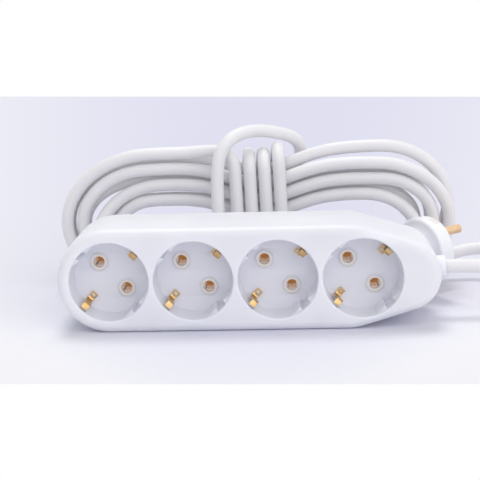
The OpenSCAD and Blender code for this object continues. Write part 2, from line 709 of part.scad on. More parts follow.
module plug_body() color(WHITE) at_plug() difference() {
    rotate_extrude($fn = 64) polygon([
        [0, disc_back - grip_len], [6.6, disc_back - grip_len], [grip_r - 2.2, disc_back - grip_len + 2],
        [grip_r - 1.4, disc_back - grip_len + 8], [grip_r, disc_back - 3.5], [grip_r + 2.2, disc_back - 1],
        [disc_r - 1.6, disc_back], [disc_r - 0.4, disc_back + 0.5], [disc_r, disc_back + 1.8],
        [disc_r, disc_face - 1], [disc_r - 0.3, disc_face - 0.3], [disc_r - 1, disc_face], [0, disc_face]
    ]);
    // The slot of the bridge, open at both ends
    translate([-disc_r - 1, -bridge_w / 2 - fit_gap, disc_face - bridge_t - fit_gap])
        cube([2 * disc_r + 2, bridge_w + 2 * fit_gap, bridge_t + 1]);
    // The grooves of the earth strips
    for (side = [-1, 1]) translate([-2.9, side < 0 ? -disc_r - 1 : disc_r - 2.2, disc_back - 1])
        cube([5.8, 3.2, disc_t + 2]);
    translate([0, plug_earth_off, disc_face - 12]) cylinder(h = 13, r = 3 + fit_gap, $fn = 32);
}

module plug_bridge() color(IVORY) at_plug() difference() {
    translate([-disc_r + bridge_in, -bridge_w / 2, disc_face - bridge_t])
        cube([2 * (disc_r - bridge_in), bridge_w, bridge_t]);
    for (side = [-1, 1]) translate([side * pin_pitch / 2, 0, disc_face - bridge_t - 1])
        cylinder(h = bridge_t + 2, r = pin_root_r + 0.02, $fn = 32);
}

module plug_pin(side) at_plug() translate([side * pin_pitch / 2, 0, disc_face - bridge_t])
    rotate_extrude($fn = 32) polygon(concat(
        [[0, 0], [pin_root_r, 0], [pin_root_r, bridge_t], [pin_r, bridge_t]],
        [for (i = [0 : 4]) [pin_r - pin_tip_r + pin_tip_r * cos(22.5 * i),
            bridge_t + pin_len - pin_tip_r + pin_tip_r * sin(22.5 * i)]],
        [[0, bridge_t + pin_len]]
    ));

module plug_pin_live() color(BRASS) plug_pin(-1);
module plug_pin_neutral() color(BRASS) plug_pin(1);

module plug_earth_strips() color(BRASS) at_plug() for (side = [0, 180]) rotate([0, 0, side])
    translate([-2, disc_r - 2.2, disc_back + 0.5]) cube([4, 0.8, disc_t - 1]);

module plug_earth_socket() color(BRASS) at_plug() translate([0, plug_earth_off, disc_face - 12])
    difference() {
        cylinder(h = 12 - 0.4, r = 3, $fn = 32);
        translate([0, 0, 1]) cylinder(h = 12, r = contact_bore, $fn = 32);
    }

module plug_cord_guard() color(WHITE) {
    back = plug_at + (disc_back - grip_len) * plug_axis;
    tube(concat([tail_points[len(tail_points) - 1]], guard_points, [back]), guard_radii,
        guard_dir, plug_axis, 12);
}
plug_axis = [
    sin(plug_turn.y) * cos(plug_turn.z), sin(plug_turn.y) * sin(plug_turn.z), cos(plug_turn.y)
];

top_shell();
base_plate();
pin_rings();
live_bar();
neutral_bar();
earth_bar();
earth_feet();
earth_rivets();
earth_arm(0, 225);  // earth_arm_1a
earth_arm(0, 45);  // earth_arm_1b
earth_arm(1, 225);  // earth_arm_2a
earth_arm(1, 45);  // earth_arm_2b
earth_arm(2, 225);  // earth_arm_3a
earth_arm(2, 45);  // earth_arm_3b
earth_arm(3, 225);  // earth_arm_4a
earth_arm(3, 45);  // earth_arm_4b
cover_screws();
cord_clamp();
clamp_screws();
cord_inner_end();
live_wire();
neutral_wire();
earth_wire();
cord_gland();
cord_lead();
cord_hank();
cord_tail();
plug_body();
plug_bridge();
plug_pin_live();
plug_pin_neutral();
plug_earth_strips();
plug_earth_socket();
plug_cord_guard();
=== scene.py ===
"""Four-way socket strip, its mains cord bound in a hank behind it, and the plug."""

import itertools

import bmesh
import bpy
import numpy as np
from mathutils import Matrix, geometry


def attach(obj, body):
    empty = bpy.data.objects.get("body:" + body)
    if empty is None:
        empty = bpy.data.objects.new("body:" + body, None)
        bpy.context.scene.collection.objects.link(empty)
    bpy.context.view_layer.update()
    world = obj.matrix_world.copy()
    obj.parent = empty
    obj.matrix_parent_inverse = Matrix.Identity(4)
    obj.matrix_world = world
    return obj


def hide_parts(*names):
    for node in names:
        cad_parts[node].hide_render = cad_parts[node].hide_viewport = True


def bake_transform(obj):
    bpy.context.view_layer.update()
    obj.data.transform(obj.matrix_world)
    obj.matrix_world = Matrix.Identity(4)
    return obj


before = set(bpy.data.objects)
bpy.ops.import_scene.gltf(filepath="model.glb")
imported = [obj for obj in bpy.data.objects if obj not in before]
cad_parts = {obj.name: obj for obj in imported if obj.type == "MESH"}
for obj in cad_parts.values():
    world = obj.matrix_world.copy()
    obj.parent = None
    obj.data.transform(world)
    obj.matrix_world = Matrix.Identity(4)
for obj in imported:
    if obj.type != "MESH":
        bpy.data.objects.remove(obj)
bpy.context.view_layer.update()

# ---- Camera ----
# A long lens looks a little down on the sockets, from just right of the middle.
MM = 0.001
CAMERA_AT = (22.0, -610.4, 164.0)
CAMERA_YAW = 0.0431
CAMERA_PITCH = 0.1983
CAMERA_ROLL = -0.0277
FOCAL_PIXELS = 1246.35
IMAGE_PIXELS = 480
SENSOR_MM = 36.0


def unit(v):
    """Each vector divided by its length."""
    v = np.asarray(v, float)
    return v / np.linalg.norm(v, axis=-1, keepdims=True)


def camera_axes(yaw, pitch, roll):
    """Right, up and forward: turned by yaw about +Z, dipped by pitch, then rolled about the view."""
    cy, sy, cp, sp = np.cos(yaw), np.sin(yaw), np.cos(pitch), np.sin(pitch)
    forward = np.array([-sy * cp, cy * cp, -sp])
    level = np.array([cy, sy, 0.0])
    upright = np.cross(level, forward)
    right = level * np.cos(roll) + upright * np.sin(roll)
    up = upright * np.cos(roll) - level * np.sin(roll)
    return right, up, forward


def place_looking(obj, at, right, up, forward):
    """Puts a camera or lamp at a point in millimetres, looking along forward."""
    obj.matrix_world = Matrix([
        [right[0], up[0], -forward[0], at[0] * MM],
        [right[1], up[1], -forward[1], at[1] * MM],
        [right[2], up[2], -forward[2], at[2] * MM],
        [0, 0, 0, 1],
    ])


camera_data = bpy.data.cameras.new("camera")
camera_data.sensor_width = SENSOR_MM
camera_data.lens = FOCAL_PIXELS * SENSOR_MM / IMAGE_PIXELS
camera_data.clip_start = 0.01
camera_data.clip_end = 20.0
camera = bpy.data.objects.new("camera", camera_data)
bpy.context.collection.objects.link(camera)
place_looking(camera, CAMERA_AT, *camera_axes(CAMERA_YAW, CAMERA_PITCH, CAMERA_ROLL))
bpy.context.scene.camera = camera

# ---- Mains cord ----
# Round white PVC sheath, 7 mm, extruded over three cores. It leaves the strip's nose, turns
# back, goes round in a hank, binds the hank's waist and ends in the plug.
CORD_D = 7.0
CORD_INNER_END = (77.9, 1.5, 25.75)
CORD_EXIT = (97.9, 1.5, 25.75)
CORD_SIDES, CORD_STEP, SOFT_PASSES = 24, 2.0, 3
LEAD_POINTS = [
    CORD_INNER_END, (88, 1.5, 25.75), CORD_EXIT, (105, 1.5, 25.8), (115, 1.7, 25.4),
    (127, 3.5, 24), (139, 9, 21), (149, 19, 17.5), (155, 32, 15), (156, 46, 14.5),
    (152.5, 60, 15.5), (143.5, 73, 17), (132, 81, 17.5), (120, 83.5, 16.5), (109, 81.5, 14.2),
]
TAIL_POINTS = [
    (22.5, 92.5, 60), (25.5, 94, 66.5), (27.5, 93.5, 73), (26, 90.5, 79), (21, 86.5, 83),
    (14, 81, 85.5), (5, 74, 87.5), (-4, 67, 87.3), (-11.5, 61, 84), (-16.5, 57.5, 76.5),
    (-18, 55.5, 66), (-18, 52.5, 54), (-17.2, 47.5, 40), (-13.5, 42, 25), (-6, 38, 15),
    (5, 35.5, 8.5), (18, 33.5, 5), (31, 32, 5.5), (43, 31.5, 9), (54, 30.5, 13.8),
    (56.4, 29.8, 15.5),
]
# The hank's middle, its runs' half length and lowest place, how much each loop is smaller than the
# one round it, the bow of its ends and the share of a turn that half a straight run takes
HANK_X, HANK_Y = 4.8, 75.0
LOOP_REACH, LOOP_LOW, LOOP_STEP, LOOP_BOW, RUN_SHARE = 110.6, 3.7, 8.8, 1.2, 0.11
# The turn at which the hank changes layer, the layers' half distance and the bottom runs' spread
LAYER_TURN, LAYER_EASE, LAYER_HALF, BOTTOM_FAN = 3.25, 0.1, 3.8, 7.7
SWAP_FROM, SWAP_OVER = 3.18, 0.185
# The bottom runs lie in groups that part at these turns, each lowered by this many loop steps; they
# close up again above half height
BASE_TURNS, BASE_LOOPS = (1.5, 3.5, 4.5), (0.0, 2.0, 2.5, 0.5)
FAN_FROM, FAN_OVER = 0.5, 0.42
# At the waist, how far top runs are drawn down and bottom ones up, at which x and how wide
WAIST_DROP, WAIST_LIFT = (11.3, 5, 26), (10.9, 8, 40)
# The rear layer's top row and spacing, then the front's, and how far each leans on either side
REAR_TOP, FRONT_TOP = (82.0, 11.4), (79.1, 8.7)
REAR_LEAN, FRONT_LEAN = (0.08, 0.035), (0.032, -0.038)
# The wraps' round top and bottom: half width, height of their ends, rise, the share of half a turn
# that each takes, and squareness
WRAP_TOP, WRAP_LOW = (12.9, 62.5, 12.5, 0.24, 3.0), (22.6, 19.1, -15.5, 0.3, 3.4)
# Where the first wrap lies, how far each goes on, and the height, turn and width of the bulge at
# the last one's top
WRAP_START, WRAP_PITCH, WRAP_BULGE = -9.5, 8.0, (2.6, 3, 0.13)
# First turn, last turn and step of each, and how hard their link is drawn along their ends
HANK_TURNS, WRAP_TURNS, LINK_PULL = (-0.17, 6.425, 1 / 120), (0.09, 3.83, 1 / 90), 40


def smooth(t):
    """0 below 0, 1 above 1, and an even S between."""
    t = np.clip(t, 0, 1)
    return t * t * (3 - 2 * t)


def between(a, b, share):
    """From a to b as share goes from 0 to 1."""
    return a + (b - a) * share


def hump(x, height, middle, width):
    """A bell curve: height at the middle, and a share 1/e of it a width away."""
    return height * np.exp(-(((x - middle) / width) ** 2))


def hank_at(v):
    """The hank after v turns: straight runs joined by bowed half circles, in loops that spiral in,
    change layer and spiral out, drawn in at the waist, with the bottom runs spread over four layers."""
    step = LAYER_TURN - np.sqrt((v - LAYER_TURN) ** 2 + LAYER_EASE ** 2)
    base = np.select([v < turn for turn in BASE_TURNS], BASE_LOOPS[:-1], BASE_LOOPS[-1])
    fan = np.where((v > BASE_TURNS[0]) & (v < BASE_TURNS[-1]), BOTTOM_FAN, 0.0)
    f = np.mod(v, 1.0)
    h = np.minimum(f, 1 - f)
    share_front = smooth((v - SWAP_FROM) / SWAP_OVER)
    top = between(REAR_TOP[0] - REAR_TOP[1] * step, FRONT_TOP[0] - FRONT_TOP[1] * step, share_front)
    low = LOOP_LOW + LOOP_STEP * (step - base)
    bow = LOOP_BOW * (top - low) / 2
    a = np.pi * np.clip((h - RUN_SHARE) / (0.5 - 2 * RUN_SHARE), 0, 1)
    run = np.minimum(1, np.minimum(h, 0.5 - h) / RUN_SHARE)
    reach = (LOOP_REACH - LOOP_STEP * step - bow) * run + bow * np.sin(a)
    x = HANK_X + np.where(f < 0.5, -1, 1) * reach
    up = (1 - np.cos(a)) / 2
    lean = (x - HANK_X) * between(np.where(x < HANK_X, *REAR_LEAN), np.where(x < HANK_X, *FRONT_LEAN),
                                  share_front)
    y = HANK_Y + (1 - 2 * share_front) * (LAYER_HALF + fan * (1 - smooth((up - FAN_FROM) / FAN_OVER)))
    z = low + (top - low) * up + (1 - up) * hump(x, *WAIST_LIFT) + up * (lean - hump(x, *WAIST_DROP))
    return np.stack([x, y, z], -1)


def round_end(h, half_width, height, rise, share, squareness):
    """How far out and up a wrap is at h of half a turn from the middle of its round end. To each side
    that is a quarter of a superellipse: the sine and cosine of one angle, raised to 2 over its
    squareness."""
    a = np.pi / 2 * np.minimum(1, h / share)
    return half_width * np.sin(a) ** (2 / squareness), height + rise * np.cos(a) ** (2 / squareness)


def wrap_at(t):
    """The binding after t turns: two round ends joined by straight sides, each turn one cord
    further right."""
    f = np.mod(t, 1.0)
    h = 2 * np.minimum(f, 1 - f)
    share_top, share_low = WRAP_TOP[3], WRAP_LOW[3]
    k = np.clip((h - share_top) / (1 - share_top - share_low), 0, 1)
    near = [h < share_top, h > 1 - share_low]
    y, z = (np.select(near, ends, between(*side, k)) for ends, side in zip(
        zip(round_end(h, *WRAP_TOP), round_end(1 - h, *WRAP_LOW)), zip(WRAP_TOP, WRAP_LOW)))
    return np.stack([WRAP_PITCH * t + WRAP_START, HANK_Y + np.where(f < 0.5, -y, y),
                     z + hump(t, *WRAP_BULGE)], -1)


def through(points, each=12):
    """A smooth curve through points: on each span a cubic whose end slopes follow its neighbours,
    by centripetal Catmull-Rom."""
    p = np.asarray(points, float)
    p = np.vstack([2 * p[0] - p[1], p, 2 * p[-1] - p[-2]])
    gap = np.sqrt(np.linalg.norm(np.diff(p, axis=0), axis=1))[:, None]
    p0, p1, p2, p3 = p[:-3], p[1:-2], p[2:-1], p[3:]
    g0, g1, g2 = gap[:-2], gap[1:-1], gap[2:]
    m1 = p2 - p1 + g1 * ((p1 - p0) / g0 - (p2 - p0) / (g0 + g1))
    m2 = p2 - p1 + g1 * ((p3 - p2) / g2 - (p3 - p1) / (g1 + g2))
    t = np.linspace(0, 1, each, endpoint=False)[None, :, None]
    a, b = (2 * (p1 - p2) + m1 + m2)[:, None], (3 * (p2 - p1) - 2 * m1 - m2)[:, None]
    curve = ((a * t + b) * t + m1[:, None]) * t + p1[:, None]
    return np.vstack([curve.reshape(-1, p.shape[1]), p[-2]])


def bend_between(p, dp, q, dq, pull, n=14):
    """A cubic from p to q that leaves along dp and arrives along dq."""
    t = np.linspace(0, 1, n)[1:-1, None]
    return ((2 * t**3 - 3 * t**2 + 1) * p + (t**3 - 2 * t**2 + t) * pull * dp
            + (3 * t**2 - 2 * t**3) * q + (t**3 - t**2) * pull * dq)


def lengths_along(path):
    """How far along the path each of its points lies."""
    return np.concatenate([[0], np.cumsum(np.linalg.norm(np.diff(path, axis=0), axis=1))])


def even(path, step):
    """The path again, with points a fixed distance apart along it."""
    s = lengths_along(path)
    t = np.linspace(0, s[-1], int(round(s[-1] / step)) + 1)
    return np.stack([np.interp(t, s, path[:, k]) for k in range(path.shape[1])], -1)


def soften(path, passes):
    """Takes small kinks out: each point moves towards the middle of its neighbours."""
    path = path.copy()
    for _ in range(passes):
        path[2:-2] = path[2:-2] / 2 + (path[1:-3] + path[3:-1]) / 4
    return path


def cord_route():
    """The cord's middle line from inside the nose to the plug's guard."""
    hank = hank_at(np.arange(*HANK_TURNS))
    wraps = wrap_at(np.arange(*WRAP_TURNS))
    lead = through(LEAD_POINTS + [tuple(hank[0])])
    tail = through([tuple(wraps[-1])] + TAIL_POINTS)
    link = bend_between(hank[-1], unit(hank[-1] - hank[-2]), wraps[0], unit(wraps[1] - wraps[0]),
                        LINK_PULL)
    return soften(even(np.vstack([lead[:-1], hank, link, wraps, tail[1:]]), CORD_STEP), SOFT_PASSES)


def directions(path):
    """The way the path runs at each of its points."""
    return unit(np.gradient(path, axis=0))


def untwisted(ways, first=(0.0, 0.3, 1.0)):
    """A side direction at each point, carried along without twist."""
    def carry(n, t):
        return unit(n - (n @ t) * t)
    return np.array(list(itertools.accumulate(ways, carry, initial=np.array(first)))[1:])


def grid_faces(rows, cols, closed_rows=False):
    """Quads over a grid whose columns run round; rows run round too if closed_rows."""
    i = np.arange(rows if closed_rows else rows - 1)[:, None]
    k = np.arange(cols)[None, :]
    j, l = (i + 1) % rows, (k + 1) % cols
    quads = [i * cols + k, i * cols + l, j * cols + l, j * cols + k]
    return np.stack([np.broadcast_to(q, (len(i), cols)) for q in quads], -1).reshape(-1, 4)


def make_piece(name, points, faces, sharp=40.0):
    """A smooth-shaded object from points in millimetres, split at edges sharper than sharp degrees."""
    mesh = bpy.data.meshes.new(name)
    mesh.from_pydata((np.asarray(points, float) * MM).tolist(), [], faces)
    obj = bpy.data.objects.new(name, mesh)
    bpy.context.collection.objects.link(obj)
    mesh.shade_smooth()
    mesh.set_sharp_from_angle(angle=np.radians(sharp))
    return obj


def tube_rings(path, radii, sides):
    """Rings square to the path, with a radius at each point."""
    way = directions(path)
    side = untwisted(way)
    other = np.cross(way, side)
    a = 2 * np.pi * np.arange(sides) / sides
    ring = np.cos(a)[None, :, None] * side[:, None] + np.sin(a)[None, :, None] * other[:, None]
    return path[:, None] + np.broadcast_to(radii, (len(path),))[:, None, None] * ring


def capped_faces(rows, cols):
    """The quads of a grid and a flat cap at each end."""
    last = (rows - 1) * cols
    return grid_faces(rows, cols).tolist() + [
        list(range(cols))[::-1], list(range(last, last + cols))]


def set_cord_map(obj, path, sides):
    """UV in millimetres: u along the cord, v round it, so that marks follow the sheath."""
    row, turn = np.divmod(np.arange((len(path) - 1) * sides), sides)
    cap = np.arange(sides)
    rows = np.concatenate([(row[:, None] + [0, 0, 1, 1]).ravel(), 0 * cap, 0 * cap + len(path) - 1])
    turns = np.concatenate([(turn[:, None] + [0, 1, 1, 0]).ravel(), cap[::-1], cap])
    uv = np.stack([lengths_along(path)[rows], turns / sides * np.pi * CORD_D], -1)
    obj.data.uv_layers.new(name="sheath").data.foreach_set("uv", uv.ravel())


def linear(hex_colour):
    """An sRGB hex colour as linear RGBA."""
    c = np.array([int(hex_colour[i:i + 2], 16) for i in (1, 3, 5)]) / 255
    c = np.where(c <= 0.04045, c / 12.92, ((c + 0.055) / 1.055) ** 2.4)
    return (*c.tolist(), 1.0)


def feed(tree, node, links):
    """Links outputs into a node's sockets; a node given in place of an output means its first."""
    for key, source in links.items():
        tree.links.new(getattr(source, "outputs", [source])[0], node.inputs[key])


def add_node(tree, kind, settings=None, values=None, links=None):
    """A node with attributes, socket values and links into its sockets. Its kind is given without
    the word ShaderNode, and a settings value of (position, hex) pairs fills the colour ramp."""
    node = tree.nodes.new("ShaderNode" + kind)
    for key, value in (settings or {}).items():
        if key == "ramp":
            for stop, (place, colour) in zip(node.color_ramp.elements, value):
                stop.position, stop.color = place, linear(colour)
        else:
            setattr(node, key, value)
    for key, value in (values or {}).items():
        node.inputs[key].default_value = value
    feed(tree, node, links or {})
    return node


def new_material(name, **values):
    """A material with its shader's own sockets set; underscores stand for spaces."""
    material = bpy.data.materials.new(name)
    material.use_nodes = True
    shader = material.node_tree.nodes["Principled BSDF"]
    for key, value in values.items():
        shader.inputs[key.replace("_", " ")].default_value = value
    return material, material.node_tree, shader


def pvc_sheath():
    """Plasticised PVC, extruded: soft white with a low sheen. The cores show under it as faint
    waves, 60 mm long; the fine grain is drawn 0.8 mm wide so that it shows."""
    material, tree, shader = new_material(
        "pvc_sheath", IOR=1.53, Subsurface_Weight=0.6, Subsurface_Scale=0.006,
        Subsurface_Radius=(1.0, 0.95, 0.85))
    where = add_node(tree, "UVMap", {"uv_map": "sheath"})
    waves, grain = (add_node(tree, "TexNoise", values={"Scale": 1 / size, "Detail": detail},
                             links={"Vector": where}) for size, detail in ((60, 4.0), (0.8, 2.0)))
    tint = add_node(tree, "ValToRGB", {"ramp": [(0.32, "#E2E1E4"), (0.68, "#E8E7EA")]},
                    links={"Fac": waves})
    sheen = add_node(tree, "MapRange", values={"To Min": 0.4, "To Max": 0.5}, links={"Value": waves})
    relief = add_node(tree, "Math", {"operation": "MULTIPLY_ADD"}, {1: 0.2}, {0: grain, 2: waves})
    bump = add_node(tree, "Bump", values={"Strength": 0.3, "Distance": 0.15 * MM},
                    links={"Height": relief})
    feed(tree, shader, {"Base Color": tint, "Roughness": sheen, "Normal": bump})
    return material


cord_path = cord_route()
cord_rings = tube_rings(cord_path, CORD_D / 2, CORD_SIDES)
cord = make_piece("mains_cord", cord_rings.reshape(-1, 3), capped_faces(len(cord_path), CORD_SIDES))
set_cord_map(cord, cord_path, CORD_SIDES)
cord.data.materials.append(pvc_sheath())
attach(cord, "root")
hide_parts("cord_inner_end", "cord_lead", "cord_hank", "cord_tail")

# ---- Housing ----
# One white moulding with four round recesses, closed at the back by the base plate.
# It is injection moulded in a smooth thermoplastic, with rounded edges and rims.
BODY_LEN, BODY_H, BODY_D = 187.8, 51.5, 45.0
SIDE_T, FACE_T, EDGE_R, BACK_R = 2.0, 2.0, 4.5, 0.8
TAPER_LEN, TAPER, BLEND_R = 41.75, np.radians(17), 25.0
PITCH, RECESS_R, RECESS_DEPTH, RIM_R, FLOOR_T, CUP_T = 41.3, 19.5, 17.5, 0.8, 2.0, 1.6
FLOOR_FILLET, WALL_FROM = 1.1, 3.6
# A low collar round each pin hole: its width and rise, and its profile in shares of them
COLLAR_W, COLLAR_RISE, COLLAR_PROFILE = 0.7, 0.25, [(1, 0), (0.65, 0.4), (0.3, 1), (0, 1)]
PIN_PITCH, RING_R = 19.0, 4.5
GUIDE_REACH, GUIDE_DROP, GUIDE_LEAD, NOTCH_W = 17.6, 1.1, 1.6, 5.0
POCKET_OUT, POCKET_W, POCKET_TOP, POCKET_END, POCKET_STEP = 20.3, 3.8, 1.2, 9.0, 0.02
PLATE_T, BOSS_R, BOSS_ROOT, SCREW_R, SCREW_LEN, NOSE_SCREW_IN = 2.5, 3.8, 0.5, 1.4, 10.0, 18.9
# The flat face ends FACE_MARGIN inside its rounded edge; a recess's rim reaches out by RIM_OUT, and
# the edge keeps RIM_CLEAR away from it
FACE_MARGIN, RIM_OUT, RIM_CLEAR, SLOPE_STEPS = 0.3, 0.92, 0.05, 40
# Fitted pieces lap or clear each other by FIT, and bosses lap the side walls by BOSS_LAP. Points at a
# step in a round wall lie a SLIVER of angle apart, and the back edge has a row NEAR_EDGE inside it
FIT, BOSS_LAP, SLIVER, NEAR_EDGE = 0.05, 0.1, 0.002, 0.1
half_h, half_len = BODY_H / 2, BODY_LEN / 2
socket_x = -half_len + half_h + PITCH * np.arange(4)
pin_off = PIN_PITCH / 2 / np.sqrt(2)
pin_spots = [(x - s * pin_off, s * pin_off) for x in socket_x for s in (-1, 1)]
corner_x = half_len - TAPER_LEN
slope_reach = corner_x * np.sin(TAPER) + half_h * np.cos(TAPER)
nose_r = (slope_reach - half_len * np.sin(TAPER)) / (1 - np.sin(TAPER))
nose_x = half_len - nose_r
blend_x = corner_x - BLEND_R * np.tan(TAPER / 2)
plate_top = BODY_D - PLATE_T
nose_boss_x = half_len - NOSE_SCREW_IN
nose_boss_y = (slope_reach - SIDE_T - BOSS_R + BOSS_LAP - nose_boss_x * np.sin(TAPER)) / np.cos(TAPER)
boss_y = half_h - SIDE_T - BOSS_R + BOSS_LAP
cover_spots = [(x, s * y) for x, y in ((socket_x[0] + PITCH / 2, boss_y),
               (socket_x[0] + 2.5 * PITCH, boss_y), (nose_boss_x, nose_boss_y)) for s in (-1, 1)]


def arc(cx, cy, r, start, end, n):
    """n + 1 points on a circle from angle start to end."""
    a = np.linspace(start, end, n + 1)
    return np.stack([cx + r * np.cos(a), cy + r * np.sin(a)], -1)


def outline(inset):
    """The housing's outline, counter-clockwise: half a circle, two straight sides,
    blends into the slopes and the round nose, all moved inwards by inset."""
    quarter = np.pi / 2
    low = arc(blend_x, BLEND_R - half_h, BLEND_R - inset, 3 * quarter, 3 * quarter + TAPER, 10)
    nose = arc(nose_x, 0, nose_r - inset, TAPER - quarter, quarter - TAPER, 72)
    high = arc(blend_x, half_h - BLEND_R, BLEND_R - inset, quarter - TAPER, quarter, 10)
    return np.vstack([
        arc(socket_x[0], 0, half_h - inset, quarter, 3 * quarter, 96),
        low, np.linspace(low[-1], nose[0], SLOPE_STEPS + 1)[1:-1],
        nose, np.linspace(nose[-1], high[0], SLOPE_STEPS + 1)[1:-1], high,
    ])


def at_depth(flat, depth):
    """Flat points x, y on the socket face, put at a depth behind it."""
    flat = np.asarray(flat, float)
    return np.stack([flat[..., 0], np.broadcast_to(depth - BODY_D / 2, flat.shape[:-1]),
                     half_h + flat[..., 1]], -1)


def circle(cx, cy, r, n=64):
    """A closed ring of n points."""
    a = 2 * np.pi * np.arange(n) / n
    return np.stack([cx + r * np.cos(a), cy + r * np.sin(a)], -1)


def face_rings(spot, profile, n=64):
    """Rings round a spot on the face, each with its own radius and depth."""
    return np.array([at_depth(circle(*spot, r, n), d) for r, d in profile])


def rounding(r, n):
    """Inset and depth over a quarter of a circle that starts on the face and ends on the side."""
    a = np.linspace(0, np.pi / 2, n + 1)
    return list(zip(r * (1 - np.sin(a)), r * (1 - np.cos(a))))


class Shape:
    """Gathers surfaces, then welds them into one mesh whose faces all point outwards."""

    def __init__(self):
        self.points, self.faces, self.count = [], [], 0

    def add(self, points, faces):
        """Points, and faces that count from the first of these points."""
        points = np.asarray(points, float).reshape(-1, 3)
        self.points.append(points)
        self.faces += [[int(i) + self.count for i in f] for f in faces]
        self.count += len(points)

    def add_grid(self, rows, closed_rows=False):
        """Rings of points, one row each, joined by quads."""
        rows = np.asarray(rows)
        self.add(rows, grid_faces(rows.shape[0], rows.shape[1], closed_rows).tolist())

    def add_solid(self, rows):
        """Rings joined by quads, with a flat cap on the first and the last."""
        rows = np.asarray(rows)
        self.add(rows, capped_faces(rows.shape[0], rows.shape[1]))

    def add_plate(self, loops):
        """A flat area: the first loop is its edge and the others are holes."""
        triangles = geometry.tessellate_polygon([[tuple(p) for p in loop] for loop in loops])
        points = np.vstack(loops)
        corners = points[np.array(triangles)]
        normal = np.cross(corners[:, 1] - corners[:, 0], corners[:, 2] - corners[:, 0])
        turned = (normal @ normal.sum(0)) < 0
        self.add(points, [t[::-1] if back else t for t, back in zip(triangles, turned)])

    def build(self, name, sharp=40.0):
        """The object, with points at one place merged and all faces turned outwards."""
        obj = make_piece(name, np.vstack(self.points), self.faces, sharp)
        bm = bmesh.new()
        bm.from_mesh(obj.data)
        bmesh.ops.remove_doubles(bm, verts=bm.verts, dist=1e-6)
        bmesh.ops.recalc_face_normals(bm, faces=bm.faces)
        bm.to_mesh(obj.data)
        bm.free()
        obj.data.shade_smooth()
        obj.data.set_sharp_from_angle(angle=np.radians(sharp))
        return obj


def fit_piece(shape, name, material, slot, *nodes):
    """The shape as an object in its material, fixed to the root in place of these CAD nodes."""
    obj = shape.build(name)
    obj.data.materials.append(material)
    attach(obj, "root")
    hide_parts(*nodes)
    return obj


notch_half = np.arcsin(NOTCH_W / 2 / GUIDE_REACH)
pocket_half = np.arcsin(POCKET_W / 2 / RECESS_R)
flat_half = np.arccos(GUIDE_REACH / RECESS_R)
guide_turns = np.radians([135, 315])
clip_turns = np.radians([45, 225])


def both_sides(turns, halves):
    """Angles at each half-width on each side of each turn."""
    return (turns[:, None, None] + np.array([[-1], [1]]) * np.array(halves)).ravel()


# Angles round a recess, with a pair a sliver apart at each edge of a notch or a pocket
recess_angles = np.unique(np.round(np.mod(np.concatenate([
    np.linspace(0, 2 * np.pi, 192, endpoint=False),
    both_sides(guide_turns, [notch_half, notch_half + SLIVER, flat_half]),
    both_sides(clip_turns, [pocket_half, pocket_half + SLIVER])]), 2 * np.pi), 6))


def away(angle, turn):
    """Smallest angle between two directions."""
    return np.abs(np.mod(angle - turn + np.pi, 2 * np.pi) - np.pi)


def recess_radius(angle, depth):
    """Radius of the recess wall: round, with two pockets for the earth clips and two guide flats
    notched in the middle. A flat's radius is its reach over the cosine of the angle off its middle."""
    r = np.full_like(angle, RECESS_R)
    for turn in guide_turns:
        off = away(angle, turn)
        lead = np.clip((depth - GUIDE_DROP) / GUIDE_LEAD, 0, 1)
        flat = RECESS_R + (GUIDE_REACH / np.cos(np.minimum(off, 1.0)) - RECESS_R) * lead
        r = np.where((off < flat_half) & (off > notch_half + SLIVER / 2), np.minimum(r, flat), r)
    for turn in clip_turns:
        if POCKET_TOP < depth < POCKET_END:
            r = np.where(away(angle, turn) < pocket_half + SLIVER / 2, POCKET_OUT, r)
    return r


def recess_rows():
    """Radius and depth down a recess: over the rounded rim, down the wall, round into the floor."""
    def row(radius, depth):
        return np.stack(np.broadcast_arrays(radius + 0 * recess_angles, depth), -1)
    rows = [row(RECESS_R + RIM_OUT, 0.0)]
    rows += [row(RECESS_R + inset, depth) for inset, depth in rounding(RIM_R, 8)]
    fillet_top = RECESS_DEPTH - FLOOR_FILLET
    depths = np.sort([POCKET_TOP, POCKET_TOP + POCKET_STEP, POCKET_END - POCKET_STEP, POCKET_END,
                      GUIDE_DROP, GUIDE_DROP + GUIDE_LEAD / 2, GUIDE_DROP + GUIDE_LEAD,
                      *np.linspace(WALL_FROM, fillet_top, 12)])
    rows += [row(recess_radius(recess_angles, d), d) for d in depths]
    wall = recess_radius(recess_angles, fillet_top)
    rows += [row(wall - FLOOR_FILLET * (1 - np.cos(a)), fillet_top + FLOOR_FILLET * np.sin(a))
             for a in np.linspace(0, np.pi / 2, 8)[1:]]
    return np.array(rows)


def edge_drop(flat):
    """How deep the face's rounded edge lies at flat points beside the taper: a quarter of a circle
    over how far inside the outline they are, which has a straight side, a blend and a slope."""
    x, y = flat[..., 0] - blend_x, np.abs(flat[..., 1]) - (half_h - BLEND_R)
    turn = np.arctan2(y, x)
    slope = slope_reach - flat[..., 0] * np.sin(TAPER) - np.abs(flat[..., 1]) * np.cos(TAPER)
    inset = np.select([turn > np.pi / 2, turn > np.pi / 2 - TAPER],
                      [half_h - np.abs(flat[..., 1]), BLEND_R - np.hypot(x, y)], slope)
    return EDGE_R - np.sqrt(EDGE_R ** 2 - np.clip(EDGE_R - inset, 0, EDGE_R) ** 2)


